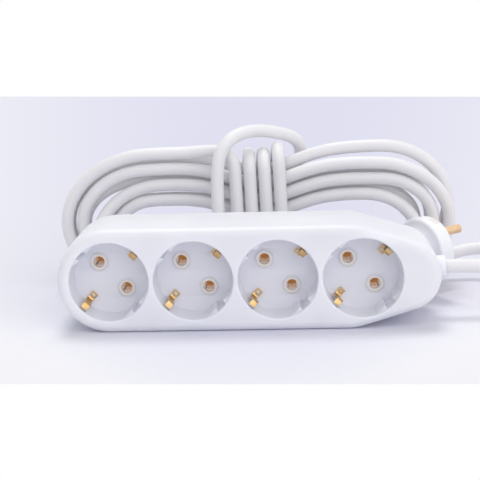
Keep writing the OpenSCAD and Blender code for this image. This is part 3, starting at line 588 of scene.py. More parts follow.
def clear_of_last_rim(inset, depth):
    """The outline at an inset and a depth, kept out of the last recess's rim: points that would
    lie inside it move out to it, and down onto the rounded edge."""
    centre = np.array([socket_x[-1], 0.0])
    flat = outline(inset)
    inside = np.linalg.norm(flat - centre, axis=-1) < RECESS_R + RIM_OUT + RIM_CLEAR
    on_rim = centre + (RECESS_R + RIM_OUT + RIM_CLEAR) * unit(outline(EDGE_R + FACE_MARGIN) - centre)
    flat = np.where(inside[:, None], on_rim, flat)
    return at_depth(flat, np.where(inside, edge_drop(flat), depth))


def recess_rings(rows, x):
    """A recess's rows placed round a socket's centre, the rim lowered where the rounded edge is."""
    around = np.stack([np.cos(recess_angles), np.sin(recess_angles)], -1)
    flat = rows[..., :1] * around + np.array([x, 0.0])
    return at_depth(flat, rows[..., 1] + edge_drop(flat[0]) * np.clip(1 - rows[..., 1] / RIM_R, 0, 1))


def housing_shape():
    """Face, edge, sides, recesses, cups, screw bosses and the inside of the moulding."""
    shape = Shape()
    back = [(inset, BODY_D - d) for inset, d in rounding(BACK_R, 4)][::-1]
    edge = [clear_of_last_rim(inset, d) for inset, d in
            [(EDGE_R + FACE_MARGIN, 0.0)] + rounding(EDGE_R, 16)]
    levels = back + [(SIDE_T, BODY_D), (SIDE_T, BODY_D - NEAR_EDGE), (SIDE_T, FACE_T)]
    shape.add_grid(edge + [at_depth(outline(inset), d) for inset, d in levels])
    rows = recess_rows()
    shape.add_plate([edge[0]] + [recess_rings(rows, x)[0] for x in socket_x])
    shape.add_plate([at_depth(outline(SIDE_T), FACE_T)]
                    + [at_depth(circle(x, 0, RECESS_R + CUP_T, 96), FACE_T) for x in socket_x])
    hole_r, cup_depth = RING_R - FIT, RECESS_DEPTH + FLOOR_T
    collar = [(hole_r + w * COLLAR_W, RECESS_DEPTH - h * COLLAR_RISE) for w, h in COLLAR_PROFILE]
    for x in socket_x:
        rings = recess_rings(rows, x)
        shape.add_grid(rings)
        pins = [spot for spot in pin_spots if abs(spot[0] - x) < PITCH / 2]
        shape.add_plate([rings[-1]] + [at_depth(circle(*p, collar[0][0]), RECESS_DEPTH) for p in pins])
        shape.add_plate([at_depth(circle(x, 0, RECESS_R + CUP_T, 96), cup_depth)]
                        + [at_depth(circle(*p, hole_r), cup_depth) for p in pins])
        shape.add_grid(face_rings((x, 0), [(RECESS_R + CUP_T, FACE_T), (RECESS_R + CUP_T, cup_depth)], 96))
        for p in pins:
            shape.add_grid(face_rings(p, collar + [(hole_r, cup_depth)]))
    for spot in cover_spots:
        bore = [(SCREW_R + FIT, plate_top), (SCREW_R + FIT, plate_top - SCREW_LEN)]
        shape.add_solid(face_rings(spot, [(BOSS_R, FACE_T - BOSS_ROOT), (BOSS_R, plate_top)] + bore, 32))
    return shape


def mottled(made, clouds, ramp, shine, grain, relief):
    """Dresses a new material: noise of one size in millimetres and detail shifts its tint along a
    ramp and its roughness between two values, and a finer noise gives it relief of a strength
    and a height."""
    material, tree, shader = made
    where = add_node(tree, "TexCoord").outputs["Object"]
    cloud, fine = (add_node(tree, "TexNoise", values={"Scale": 1 / (size * MM), "Detail": detail},
                            links={"Vector": where}) for size, detail in (clouds, grain))
    tint = add_node(tree, "ValToRGB", {"ramp": ramp}, links={"Fac": cloud})
    sheen = add_node(tree, "MapRange", values={"To Min": shine[0], "To Max": shine[1]},
                     links={"Value": cloud})
    bump = add_node(tree, "Bump", values={"Strength": relief[0], "Distance": relief[1] * MM},
                    links={"Height": fine})
    feed(tree, shader, {"Base Color": tint, "Roughness": sheen, "Normal": bump})
    return material


def moulded(name, dark, light, roughness, grain_mm, relief_mm, **sockets):
    """Injection-moulded plastic: an even colour with clouds 40 mm wide, the sheen a little uneven,
    and the fine relief of the mould, drawn as coarse as grain_mm so that it shows."""
    return mottled(new_material(name, **sockets), (40, 3.0), [(0.32, dark), (0.68, light)],
                   (roughness - 0.04, roughness + 0.04), (grain_mm, 3.0), (0.3, relief_mm))


housing_white = moulded("housing_thermoplastic", "#EAEBF5", "#EFF0FA", 0.42, 1.6, 0.02,
                        IOR=1.5, Specular_IOR_Level=0.35, Subsurface_Weight=0.4, Subsurface_Scale=0.004,
                        Subsurface_Radius=(0.9, 0.92, 1.0))
fit_piece(housing_shape(), "housing", housing_white, "housing_white", "top_shell")

# ---- Base plate ----
# The flat back cover, moulded in the same white plastic and let into the housing. Six
# counterbores hold its screws, and eight posts on it carry the contact bars.
PLATE_GAP, PLATE_EDGE = 0.25, 0.4
HEAD_SEAT, HEAD_RECESS_R, HEAD_CHAMFER, SCREW_HOLE_R = 43.8, 3.1, 0.2, 1.6
POST_R, POST_H, POST_CHAMFER = 3.0, 4.2, 0.3
bar_bottom = plate_top - POST_H

plate_shape = Shape()
plate_in = SIDE_T + PLATE_GAP
plate_shape.add_grid([at_depth(outline(plate_in + i), d) for i, d in
                      [(0, plate_top)] + [(i, BODY_D - d) for i, d in rounding(PLATE_EDGE, 4)][::-1]])
plate_shape.add_plate([at_depth(outline(plate_in + PLATE_EDGE), BODY_D)]
                      + [at_depth(circle(*p, HEAD_RECESS_R + HEAD_CHAMFER), BODY_D) for p in cover_spots])
plate_shape.add_plate([at_depth(outline(plate_in), plate_top)]
                      + [at_depth(circle(*p, SCREW_HOLE_R), plate_top) for p in cover_spots]
                      + [at_depth(circle(*p, POST_R), plate_top) for p in pin_spots])
for spot in cover_spots:
    plate_shape.add_grid(face_rings(spot, [
        (HEAD_RECESS_R + HEAD_CHAMFER, BODY_D), (HEAD_RECESS_R, BODY_D - HEAD_CHAMFER),
        (HEAD_RECESS_R, HEAD_SEAT), (SCREW_HOLE_R, HEAD_SEAT), (SCREW_HOLE_R, plate_top)]))
for spot in pin_spots:
    plate_shape.add_grid(face_rings(spot, [
        (POST_R, plate_top), (POST_R, bar_bottom + POST_CHAMFER), (POST_R - POST_CHAMFER, bar_bottom),
        (0, bar_bottom)]))
fit_piece(plate_shape, "base_cover", housing_white, "housing_white", "base_plate")

# ---- Pin rings ----
# Ivory rings round the pin holes, pressed from urea resin, a warm and half matt thermoset.
# They go in from behind, and their flanges bear on the back of the recess floors.
HOLE_R, RING_RISE, RING_BOTTOM, FLANGE_R = 2.8, 0.4, 20.5, 5.2
LEAD_IN, RING_SOFT = 0.3, 0.6
ring_top = RECESS_DEPTH - RING_RISE


def round_corner(r, depth, soft, n=4):
    """Radius and depth over a quarter of a circle round the outer corner of a rim."""
    a = np.linspace(0, np.pi / 2, n + 1)
    return list(zip(r - soft + soft * np.sin(a), depth + soft - soft * np.cos(a)))


ring_profile = (
    [(HOLE_R, RING_BOTTOM)]
    + [(HOLE_R + LEAD_IN * (1 - np.cos(a)), ring_top + LEAD_IN * (1 - np.sin(a)))
       for a in np.linspace(0, np.pi / 2, 5)]
    + round_corner(RING_R, ring_top, RING_SOFT)
    + [(RING_R, RECESS_DEPTH + FLOOR_T), (FLANGE_R, RECESS_DEPTH + FLOOR_T), (FLANGE_R, RING_BOTTOM)])
ring_shape = Shape()
for spot in pin_spots:
    ring_shape.add_grid(face_rings(spot, ring_profile), closed_rows=True)
ring_urea = moulded("ring_urea", "#E6E0DA", "#EDE8E3", 0.42, 0.9, 0.02,
                    Subsurface_Weight=0.35, Subsurface_Scale=0.003, Subsurface_Radius=(1.0, 0.85, 0.7))
fit_piece(ring_shape, "pin_hole_rings", ring_urea, "ivory_insert", "pin_rings")

# ---- Contact bars ----
# Live and neutral bars of phosphor bronze, each with four slit tubes that grip the pins, and
# the zigzag earth bar of brass under the recess floors, all stamped from strip.
# How far back the bars' tint stays pale pinkish, painted light in the bores, before it turns golden
PAINTED_PALE_TO = 7.5


def rolled_metal(name, dark, light, roughness, grain_mm):
    """Strip or wire as it leaves the rolls and the press: a satin shine, a tint that varies a
    little over 3 mm, and a fine grain, drawn as coarse as grain_mm so that it shows."""
    return mottled(new_material(name, Metallic=1.0), (3, 4.0), [(0.3, dark), (0.7, light)],
                   (roughness - 0.06, roughness + 0.08), (grain_mm, 3.0), (0.25, 0.02))


def dress(material, *nodes):
    """Gives CAD solids their material."""
    for name in nodes:
        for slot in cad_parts[name].material_slots:
            slot.material = material


def bronze_with_painted_glow():
    """Bronze with a tinge of copper. Its tint is pale pinkish near the front of the tubes, painted
    light on the bores' walls, and golden deeper in; the border wanders by 2 mm. It also glows a
    little in that tint, painted light for the light that the pale plastic round them lets in."""
    material, tree, shader = new_material("bronze_with_painted_glow", Metallic=0.3, Roughness=0.45,
                                          Emission_Strength=0.2)
    where = add_node(tree, "TexCoord").outputs["Object"]
    deep = add_node(tree, "SeparateXYZ", links={"Vector": where}).outputs["Y"]
    blotch = add_node(tree, "TexNoise", values={"Scale": 1 / (3 * MM), "Detail": 3.0},
                      links={"Vector": where})
    edge = add_node(tree, "Math", {"operation": "MULTIPLY_ADD"}, {1: 2 * MM}, {0: blotch, 2: deep})
    share = add_node(tree, "MapRange", links={"Value": edge},
                     values={"From Min": PAINTED_PALE_TO * MM, "From Max": (PAINTED_PALE_TO + 1) * MM})
    tint = add_node(tree, "ValToRGB", {"ramp": [(0.0, "#DFD0C7"), (1.0, "#CBA067")]},
                    links={"Fac": share})
    # Painted light: the tint also glows, pale near the tubes' mouths and golden deeper in
    feed(tree, shader, {"Base Color": tint, "Emission Color": tint})
    return material


bar_brass = rolled_metal("bar_brass", "#C9A05C", "#D9B26C", 0.35, 0.6)
dress(bronze_with_painted_glow(), "live_bar", "neutral_bar")
dress(bar_brass, "earth_bar")

# ---- Earth clips ----
# Eight springs of hard brass strip, two to a socket. The foot lies on the recess floor; from
# there the strip turns up the wall, leans in and curls out again under the rim.
CLIP_W, CLIP_T, CLIP_CORNER = 3.4, 0.6, 0.12
CLIP_PATH = [
    (13, 17.2), (14.6, 17.2), (16.0, 17.15), (17.0, 16.7), (17.5, 15.5), (17.6, 13.8),
    (17.4, 11.2), (16.8, 8.2), (16.1, 6.0), (15.8, 4.9), (15.95, 4.0), (16.6, 3.25),
    (17.6, 2.75), (18.7, 2.45),
]
CLIP_STEP = 0.25


def rounded_rectangle(w, h, r, n=3):
    """A rectangle w by h round the origin, its corners rounded by r."""
    return np.vstack([arc(sx * (w / 2 - r), sy * (h / 2 - r), r, a, a + np.pi / 2, n)
                      for sx, sy, a in ((1, 1, 0), (-1, 1, np.pi / 2),
                                        (-1, -1, np.pi), (1, -1, 3 * np.pi / 2))])


def strip_rows(path, section):
    """A flat section carried along a path of radius and depth, its width square to both."""
    path = even(through(path), CLIP_STEP)
    way = directions(path)
    across = np.stack([-way[:, 1], way[:, 0]], -1)
    middle = path[:, None] + section[None, :, 1:] * across[:, None]
    return np.concatenate([middle, np.broadcast_to(section[None, :, :1], middle.shape[:2] + (1,))], -1)


def on_diagonal(points, x, turn):
    """Points of radius, depth and sideways place, turned round a socket's centre."""
    r, depth, side = np.moveaxis(np.asarray(points, float), -1, 0)
    return at_depth(np.stack([x + r * np.cos(turn) - side * np.sin(turn),
                              r * np.sin(turn) + side * np.cos(turn)], -1), depth)


spring_brass = rolled_metal("spring_brass", "#C49E66", "#D6BA8C", 0.38, 0.5)
clip_rows = strip_rows(CLIP_PATH, rounded_rectangle(CLIP_W, CLIP_T, CLIP_CORNER))
for number, x in enumerate(socket_x, 1):
    for letter, turn in zip("ab", clip_turns[::-1]):
        clip_shape = Shape()
        clip_shape.add_solid(on_diagonal(clip_rows, x, turn))
        clip = clip_shape.build(f"earth_clip_{number}{letter}")
        clip.data.materials.append(spring_brass)
        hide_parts("earth_feet", f"earth_arm_{number}{letter}")
        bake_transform(clip)

# ---- Rivets ----
# Eight rivets of tinned steel hold the clips' feet down, each with a domed head above and a
# flat one under the earth bar. The last one is tubular, open at its head.
RIVET_AT, RIVET_R, RIVET_HEAD_R, RIVET_HEAD_H = 14.8, 0.9, 1.25, 0.4
RIVET_TAIL_H, RIVET_CHAMFER, EARTH_T = 0.4, 0.1, 0.8
# The tubular one: its bore, how far from the tail it ends, and its rolled rim's rise and widths
TUBE_BORE_R, TUBE_END, TUBE_RISE, TUBE_IN, TUBE_OUT = 0.85, 1.0, 0.3, 0.1, 0.15
foot_top = RECESS_DEPTH - CLIP_T
tail_end = RECESS_DEPTH + FLOOR_T + EARTH_T + RIVET_TAIL_H
shank_profile = [(RIVET_HEAD_R, foot_top), (RIVET_R, foot_top), (RIVET_R, tail_end - RIVET_TAIL_H),
                 (RIVET_HEAD_R, tail_end - RIVET_TAIL_H), (RIVET_HEAD_R, tail_end - RIVET_CHAMFER),
                 (RIVET_HEAD_R - RIVET_CHAMFER, tail_end), (0, tail_end)]
dome_profile = [(RIVET_HEAD_R * np.sin(a), foot_top - RIVET_HEAD_H * np.cos(a))
                for a in np.linspace(0, np.pi / 2, 7)]
tube_profile = [(0, tail_end - TUBE_END), (TUBE_BORE_R, tail_end - TUBE_END),
                (TUBE_BORE_R, foot_top - TUBE_RISE), (TUBE_BORE_R + TUBE_IN, foot_top - RIVET_HEAD_H),
                (RIVET_HEAD_R - TUBE_OUT, foot_top - TUBE_RISE)]
rivet_shape = Shape()
for x in socket_x:
    for turn in clip_turns:
        spot = (x + RIVET_AT * np.cos(turn), RIVET_AT * np.sin(turn))
        is_tube = x == socket_x[-1] and turn == clip_turns[1]
        head = tube_profile if is_tube else dome_profile
        rivet_shape.add_grid(face_rings(spot, head + shank_profile, 24))
tinned_steel = rolled_metal("tinned_steel", "#B9B3A8", "#CBC5BA", 0.5, 0.4)
fit_piece(rivet_shape, "clip_rivets", tinned_steel, "zinc_steel", "earth_rivets")

# ---- Screws and clamp ----
# Six zinc-plated screws hold the base plate. A white nylon bridge with two more presses the
# cord on its rib in the nose.
zinc_plate = rolled_metal("zinc_plate", "#A9ABB0", "#C3C5CA", 0.3, 0.5)
clamp_nylon = moulded("clamp_nylon", "#E6E5E6", "#ECEBEC", 0.5, 1.2, 0.03, IOR=1.53)
dress(zinc_plate, "cover_screws", "clamp_screws")
dress(clamp_nylon, "cord_clamp")

# ---- Cores ----
# Three stranded cores in coloured PVC run from the cord's cut end to the bars: brown is
# live, blue neutral, and green with yellow earth.
dress(moulded("core_pvc_brown", "#6E4127", "#7C4B2D", 0.4, 0.6, 0.02), "live_wire")
dress(moulded("core_pvc_blue", "#3768AE", "#4173BA", 0.4, 0.6, 0.02), "neutral_wire")
# At this scale of the wave texture its slanting bands lie 38 mm apart along x
EARTH_WAVE_MM = 60.0


def striped_pvc():
    """Green PVC with a yellow stripe laid round the core, so bands of each show along it."""
    material, tree, shader = new_material("core_pvc_green_yellow", Roughness=0.4)
    where = add_node(tree, "TexCoord").outputs["Object"]
    bands = add_node(tree, "TexWave", {"bands_direction": "DIAGONAL"},
                     {"Scale": 1 / (EARTH_WAVE_MM * MM), "Distortion": 0.4}, {"Vector": where})
    tint = add_node(tree, "ValToRGB", {"ramp": [(0.45, "#3F9A45"), (0.55, "#E3D22F")]},
                    links={"Fac": bands.outputs["Fac"]})
    feed(tree, shader, {"Base Color": tint})
    return material


dress(striped_pvc(), "earth_wire")

# ---- Cord gland ----
# A collar of the housing's white plastic round the cord where it leaves the nose, held
# from inside by its lip.
GLAND_R, GLAND_EDGE, GLAND_LIP_R, GLAND_LIP_T = 5.4, 0.7, 6.8, 2.0
GLAND_FLARE_W, GLAND_FLARE_H = 0.3, 0.4
gland_end = CORD_EXIT[0]
gland_lip_x = nose_x + np.sqrt((nose_r - SIDE_T) ** 2 - GLAND_LIP_R ** 2) - FIT


def turned(profile, origin, axes, n=64):
    """A profile of radius and height turned round the third axis: each row is a circle."""
    a = 2 * np.pi * np.arange(n) / n
    r, h = np.asarray(profile, float).T[:, :, None, None]
    u, v, w = axes
    return origin + r * (np.cos(a)[:, None] * u + np.sin(a)[:, None] * v) + h * w


gland_profile = (
    [(CORD_D / 2, gland_lip_x - GLAND_LIP_T), (GLAND_LIP_R, gland_lip_x - GLAND_LIP_T),
     (GLAND_LIP_R, gland_lip_x), (GLAND_R, gland_lip_x)]
    + [(r, gland_end - d) for r, d in round_corner(GLAND_R, 0, GLAND_EDGE)][::-1]
    + [(CORD_D / 2 + GLAND_FLARE_W, gland_end), (CORD_D / 2, gland_end - GLAND_FLARE_H)])
gland_shape = Shape()
gland_shape.add_grid(turned(gland_profile, np.array([0, CORD_EXIT[1], CORD_EXIT[2]]),
                            np.array([[0, 1, 0], [0, 0, 1], [1, 0, 0]])), closed_rows=True)
gland = fit_piece(gland_shape, "cord_collar", housing_white, "housing_white", "cord_gland")

# ---- Plug ----
# A round plug of white rubbery PVC moulded over the cord's end. An ivory bridge in a slot
# across its face holds two brass pins, and brass earth strips lie in its side grooves.
PLUG_AT = np.array([92.0, 44.0, 24.5])
PLUG_TIP, PLUG_AZIMUTH, PLUG_ROLL = np.radians([88, 38, 20])
DISC_R, DISC_T = 18.3, 9.0
# Radius and height from the disc's middle: the grip from the guard on, then the disc up to its face
GRIP_PROFILE = [(6.6, -24), (8.0, -23.4), (8.8, -22), (9.2, -19.5), (9.6, -16), (10.2, -12),
                (11, -8.4), (11.9, -6.6), (13.4, -5.4), (15.2, -4.75), (16.7, -4.5)]
DISC_PROFILE = [(17.5, -4.3), (18.0, -3.8), (18.25, -3.2), (18.3, -2.6), (18.3, -1.56), (18.3, -1.5),
                (18.3, 1.0), (18.3, 3.3), (18.2, 3.8), (18.0, 4.15), (17.7, 4.4), (17.3, 4.5)]
BRIDGE_W, BRIDGE_T, BRIDGE_IN, BRIDGE_EDGE = 6.0, 6.0, 0.4, 0.5
SLOT_GAP, SLOT_END_GAP = 0.05, 0.1
PIN_R, PIN_LEN, PIN_TIP_R, PIN_ROOT_R, PIN_ROOT_H = 2.4, 19.0, 1.2, 2.7, 0.02
STRIP_W, STRIP_T, STRIP_LEN, STRIP_EDGE, GROOVE_W, GROOVE_IN = 4.0, 0.8, 8.0, 0.2, 5.8, 2.2
EARTH_OFF, EARTH_SOCKET_R, EARTH_BORE_R, EARTH_DEPTH = 10.0, 3.0, 2.45, 12.0
BUSH_IN, BUSH_EDGE, BUSH_FLOOR = 0.4, 0.15, 1.0
# The guard's route along the cord, and its radius at each point and where it meets the grip
GUARD_POINTS = [(54, 30.5, 13.8), (58, 29.3, 16.6), (62, 28.2, 19.3), (66.5, 27.7, 22),
                (70.5, 28.1, 23.4)]
GUARD_RADII = [4.1, 4.3, 4.5, 4.6, 5.0, 6.4]
GUARD_LAP, GUARD_TIP_LEN, GUARD_TIP_IN, GUARD_STEP = 0.3, 0.5, 0.4, 0.25
# The ribs: pitch and depth of their cuts, where in a pitch a cut sets in and over what share of it,
# the length over which the first grows, and the share of the guard that has ribs
RIB_PITCH, RIB_CUT, RIB_FROM, RIB_OVER, RIB_EASE, RIB_SHARE = 3.0, 0.55, 0.5, 0.25, 2.0, 0.86


def about_z(angle):
    """A matrix that turns points about the third axis."""
    c, s = np.cos(angle), np.sin(angle)
    return np.array([[c, -s, 0], [s, c, 0], [0, 0, 1]])


def about_y(angle):
    """A matrix that turns points about the second axis."""
    c, s = np.cos(angle), np.sin(angle)
    return np.array([[c, 0, s], [0, 1, 0], [-s, 0, c]])


# Rows are the plug's own axes: across the pins, across the earth strips, and out of its face
plug_axes = (about_z(PLUG_AZIMUTH) @ about_y(PLUG_TIP) @ about_z(PLUG_ROLL)).T
disc_face = DISC_T / 2
slot_floor, slot_reach = disc_face - BRIDGE_T, DISC_R - BRIDGE_IN - SLOT_END_GAP


def on_plug(points):
    """The plug's own x, y and z, put in the frame."""
    return PLUG_AT + np.asarray(points, float) @ plug_axes


slot_half = np.arcsin((BRIDGE_W / 2 + SLOT_GAP) / DISC_PROFILE[-1][0])
groove_half = np.arcsin(GROOVE_W / 2 / DISC_R)
plug_angles = np.unique(np.round(np.mod(np.concatenate([
    np.linspace(0, 2 * np.pi, 120, endpoint=False),
    both_sides(np.array([0, np.pi]), [slot_half, slot_half + SLIVER]),
    both_sides(np.array([1, 3]) * np.pi / 2, [groove_half, groove_half + SLIVER])]), 2 * np.pi), 6))


def plug_radius(radius, height):
    """The turned body's radius, cut back to a flat in the earth strips' grooves and where
    the bridge's slot runs out at the rim."""
    r = np.full_like(plug_angles, radius)
    for turn in (np.pi / 2, 3 * np.pi / 2):
        off = away(plug_angles, turn)
        flat = (DISC_R - GROOVE_IN) / np.cos(np.minimum(off, 1.0))
        r = np.where(off < groove_half + SLIVER / 2, np.minimum(r, flat), r)
    for turn in (0.0, np.pi):
        off = away(plug_angles, turn)
        if height > slot_floor:
            flat = slot_reach / np.cos(np.minimum(off, 1.0))
            r = np.where(off < slot_half + SLIVER / 2, np.minimum(r, flat), r)
    return r


def plug_body_shape():
    """The grip swells from the guard to the disc; its face has a slot and the earth socket."""
    shape = Shape()
    around = np.stack([np.cos(plug_angles), np.sin(plug_angles)], -1)
    rows = [np.column_stack([plug_radius(r, h)[:, None] * around, np.full(len(plug_angles), h)])
            for r, h in [(0.0, GRIP_PROFILE[0][1]), *through(GRIP_PROFILE, 4), *DISC_PROFILE]]
    shape.add_grid([on_plug(row) for row in rows])
    rim = rows[-1]
    hole = np.column_stack([circle(0, EARTH_OFF, EARTH_SOCKET_R + SLOT_GAP, 48), np.full(48, disc_face)])
    for side in (1, -1):
        half = rim[side * rim[:, 1] > BRIDGE_W / 2]
        half = half[np.argsort(np.arctan2(side * half[:, 1], half[:, 0]))]
        shape.add_plate([on_plug(half)] + ([on_plug(hole)] if side > 0 else []))
        wall = half[[0, -1]]
        shape.add(on_plug(np.vstack([wall, wall[::-1] * [1, 1, 0] + [0, 0, slot_floor]])), [[0, 1, 2, 3]])
    x, y = slot_reach, BRIDGE_W / 2 + SLOT_GAP
    shape.add(on_plug([(x, -y, slot_floor), (x, y, slot_floor), (-x, y, slot_floor),
                       (-x, -y, slot_floor)]), [[0, 1, 2, 3]])
    bore = [(EARTH_SOCKET_R + SLOT_GAP, disc_face), (EARTH_SOCKET_R + SLOT_GAP, disc_face - EARTH_DEPTH),
            (0, disc_face - EARTH_DEPTH)]
    shape.add_grid(turned(bore, on_plug((0, EARTH_OFF, 0)), plug_axes, 48))
    return shape


plug_pvc = moulded("plug_pvc", "#EFF0F6", "#F3F4F9", 0.45, 1.2, 0.03, IOR=1.53,
                   Subsurface_Weight=0.08, Subsurface_Scale=0.003)
plug_pieces = [fit_piece(plug_body_shape(), "plug_moulding", plug_pvc, "plug_moulding", "plug_body")]


def block_rows(length, w, h, r, n=4, least_r=0.02):
    """Rounded rectangles along a length, drawn in at both ends by the same rounding."""
    ends = rounding(r, n)
    places = [(i, d - length / 2) for i, d in ends] + [(i, length / 2 - d) for i, d in ends[::-1]]
    sections = [(x, rounded_rectangle(w - 2 * i, h - 2 * i, max(r - i, least_r))) for i, x in places]
    return [np.column_stack([np.full(len(section), x), section]) for x, section in sections]


bridge_shape = Shape()
bridge_shape.add_solid([on_plug(row + [0, 0, disc_face - BRIDGE_T / 2]) for row in
                        block_rows(2 * (DISC_R - BRIDGE_IN), BRIDGE_W, BRIDGE_T, BRIDGE_EDGE)])
plug_pieces.append(fit_piece(bridge_shape, "pin_bridge", ring_urea, "ivory_insert", "plug_bridge"))

pin_brass = rolled_metal("turned_pin_brass", "#E2BF96", "#EECDA8", 0.36, 0.4)
pin_profile = (
    [(0, -BRIDGE_T), (PIN_ROOT_R, -BRIDGE_T), (PIN_ROOT_R, PIN_ROOT_H), (PIN_R, PIN_ROOT_H)]
    + [(PIN_R - PIN_TIP_R + PIN_TIP_R * np.cos(a), PIN_LEN - PIN_TIP_R + PIN_TIP_R * np.sin(a))
       for a in np.linspace(0, np.pi / 2, 9)] + [(0, PIN_LEN)])
for pole, side in (("live", -1), ("neutral", 1)):
    pin_shape = Shape()
    pin_shape.add_grid(turned(pin_profile, on_plug((side * PIN_PITCH / 2, 0, disc_face)), plug_axes, 40))
    plug_pieces.append(fit_piece(pin_shape, f"{pole}_pin", pin_brass, "brass", f"plug_pin_{pole}"))

strip_shape = Shape()
for side in (1, -1):
    rows = np.array(block_rows(STRIP_LEN, STRIP_T, STRIP_W, STRIP_EDGE))[..., [2, 1, 0]]
    strip_shape.add_solid([on_plug(row + [0, side * (DISC_R - GROOVE_IN + STRIP_T / 2), 0]) for row in rows])
plug_pieces.append(fit_piece(strip_shape, "side_strips", spring_brass, "brass", "plug_earth_strips"))

bush_shape = Shape()
bush_top, bush_bottom = disc_face - BUSH_IN, disc_face - EARTH_DEPTH
bush_shape.add_grid(turned(
    [(0, bush_bottom), (EARTH_SOCKET_R, bush_bottom), (EARTH_SOCKET_R, bush_top - BUSH_EDGE),
     (EARTH_SOCKET_R - BUSH_EDGE, bush_top), (EARTH_BORE_R + BUSH_EDGE, bush_top),
     (EARTH_BORE_R, bush_top - BUSH_EDGE), (EARTH_BORE_R, bush_bottom + BUSH_FLOOR),
     (0, bush_bottom + BUSH_FLOOR)], on_plug((0, EARTH_OFF, 0)), plug_axes, 48))
plug_pieces.append(fit_piece(bush_shape, "earth_bush", bar_brass, "brass", "plug_earth_socket"))


def guard_rings():
    """The guard follows the cord; its radius swells towards the plug, with round ribs left between
    cuts a rib's pitch apart, and its tip is a quarter of an ellipse."""
    spine = [*GUARD_POINTS, tuple(on_plug((0, 0, GRIP_PROFILE[0][1] + GUARD_LAP)))]
    data = even(through(np.column_stack([spine, GUARD_RADII])), GUARD_STEP)
    path, radius = data[:, :3], data[:, 3]
    s = lengths_along(path)
    wave = np.abs(np.mod(s / RIB_PITCH, 1) - 0.5) * 2
    ribbed = smooth(s / RIB_EASE) * (s < RIB_SHARE * s[-1])
    cut = RIB_CUT * smooth((wave - RIB_FROM) / RIB_OVER) * ribbed
    tip = np.clip(s / GUARD_TIP_LEN, 0, 1)
    return tube_rings(path, radius - cut - GUARD_TIP_IN * (1 - np.sqrt(1 - (1 - tip) ** 2)), 40)


guard_shape = Shape()
guard_shape.add_solid(guard_rings())
plug_pieces.append(fit_piece(guard_shape, "ribbed_guard", plug_pvc, "plug_moulding", "plug_cord_guard"))

# ---- Floor and light ----
# A sheet of lavender paper on a white table, lit by a wide even sky, by a soft lamp high
# behind that throws the shadow forwards, and by a wide one from the front right.
# The paper's front and back edges in metres: how far back they lie in line with the middle, their
# slant, and how far the edge takes to fade
PAPER_FRONT, PAPER_BACK = (-0.1048, 0.046, -0.0004), (1.322, 0.2854, 0.004)
# Painted light makes the paper paler towards its front, and to both sides of a middle that widens towards
# its back
PAPER_PAINTED_LIGHT_FRONT, PAPER_PAINTED_LIGHT_ASIDE = (0.08, -0.2), (0.03, 0.32)
PAPER_WIDENS, PAPER_ASIDE_MOST = 0.5, 0.7
FLOOR_X, FLOOR_Y, FLOOR_COLUMNS, FLOOR_ROWS = (-3000, 3000), (-3000, 24000), 13, 14
SKY = 0.49
# Each lamp's way, strength and spread in degrees
LAMPS = {"back_lamp": ((0.05, -0.27, -0.96), 0.38, 26), "side_lamp": ((-0.4, 0.74, -0.53), 0.38, 80)}


def seen_rays(tree):
    """1 for rays from the eye, in a reflection or through glass, else 0."""
    path = add_node(tree, "LightPath").outputs
    mirrored = add_node(tree, "Math", {"operation": "MAXIMUM"},
                        links={0: path["Is Glossy Ray"], 1: path["Is Transmission Ray"]})
    return add_node(tree, "Math", {"operation": "MAXIMUM"},
                    links={0: path["Is Camera Ray"], 1: mirrored})


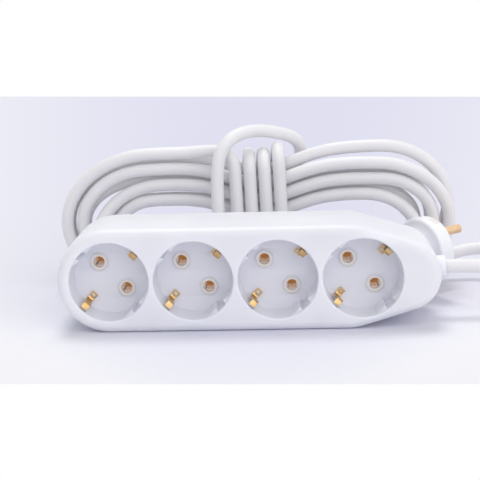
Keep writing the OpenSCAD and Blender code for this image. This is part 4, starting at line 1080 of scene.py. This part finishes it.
def paper():
    """Matt paper, with painted light that makes it whiter towards the front and the sides; past its edges
    plain white that shows only as background, so that the object's light stays the same."""
    material, tree, shader = new_material("backdrop_paper", Roughness=0.9, Specular_IOR_Level=0.1)
    where = add_node(tree, "TexCoord").outputs["Object"]
    place = add_node(tree, "SeparateXYZ", links={"Vector": where}).outputs
    width = add_node(tree, "Math", {"operation": "ADD"}, {1: PAPER_WIDENS}, {0: place["Y"]})
    side = add_node(tree, "Math", {"operation": "DIVIDE"}, links={0: place["X"], 1: width})
    aside = add_node(tree, "Math", {"operation": "ABSOLUTE"}, links={0: side})
    # Painted light: the paper's tint whitens towards its front and to its sides
    pale = [add_node(tree, "MapRange", {"interpolation_type": "SMOOTHSTEP"},
                     {"From Min": low, "From Max": high, "To Max": most}, {"Value": value})
            for value, (low, high), most in ((place["Y"], PAPER_PAINTED_LIGHT_FRONT, 1.0),
                                             (aside, PAPER_PAINTED_LIGHT_ASIDE, PAPER_ASIDE_MOST))]
    either = add_node(tree, "Math", {"operation": "ADD", "use_clamp": True}, links=dict(enumerate(pale)))
    tint = add_node(tree, "MixRGB", links={"Fac": either},
                    values={"Color1": linear("#D9D9EA"), "Color2": linear("#EEEEF2")})
    feed(tree, shader, {"Base Color": tint})
    past = []
    for edge, slant, soft in (PAPER_FRONT, PAPER_BACK):
        line = add_node(tree, "VectorMath", {"operation": "DOT_PRODUCT"}, {1: (slant, 1.0, 0.0)},
                        {0: where}).outputs["Value"]
        past.append(add_node(tree, "MapRange", values={"From Min": edge, "From Max": edge + soft},
                             links={"Value": line}))
    beyond = add_node(tree, "Math", {"operation": "MAXIMUM"}, links=dict(enumerate(past)))
    share = add_node(tree, "Math", {"operation": "MULTIPLY"}, links={0: beyond, 1: seen_rays(tree)})
    white = add_node(tree, "Emission", values={"Strength": 1.0})
    mix = add_node(tree, "MixShader", links={"Fac": share, 1: shader, 2: white})
    feed(tree, tree.nodes["Material Output"], {"Surface": mix})
    return material


x, y = np.meshgrid(np.linspace(*FLOOR_X, FLOOR_COLUMNS), np.linspace(*FLOOR_Y, FLOOR_ROWS))
corner = (np.arange(FLOOR_ROWS - 1)[:, None] * FLOOR_COLUMNS + np.arange(FLOOR_COLUMNS - 1)).ravel()
floor = make_piece("floor", np.stack([x, y, 0 * x], -1).reshape(-1, 3),
                   (corner[:, None] + [0, 1, FLOOR_COLUMNS + 1, FLOOR_COLUMNS]).tolist())
floor.data.materials.append(paper())

world = bpy.data.worlds.new("sky")
world.use_nodes = True
sky_tree = world.node_tree
sky_light = sky_tree.nodes["Background"]
sky_light.inputs["Color"].default_value = linear("#FFFFFF")
sky_light.inputs["Strength"].default_value = SKY
seen_white = add_node(sky_tree, "Background", values={"Color": (1, 1, 1, 1), "Strength": 1.0})
sky_mix = add_node(sky_tree, "MixShader", links={"Fac": seen_rays(sky_tree), 1: sky_light, 2: seen_white})
feed(sky_tree, sky_tree.nodes["World Output"], {"Surface": sky_mix})
bpy.context.scene.world = world

for name, (toward, strength, spread) in LAMPS.items():
    lamp_data = bpy.data.lights.new(name, "SUN")
    lamp_data.energy = strength * np.pi
    lamp_data.angle = np.radians(spread)
    lamp = bpy.data.objects.new(name, lamp_data)
    bpy.context.collection.objects.link(lamp)
    aim = unit(toward)
    level = unit(np.cross(aim, [0.0, 0.0, 1.0]))
    place_looking(lamp, (0, 0, 500), level, np.cross(level, aim), aim)

bpy.context.scene.view_settings.view_transform = "Standard"
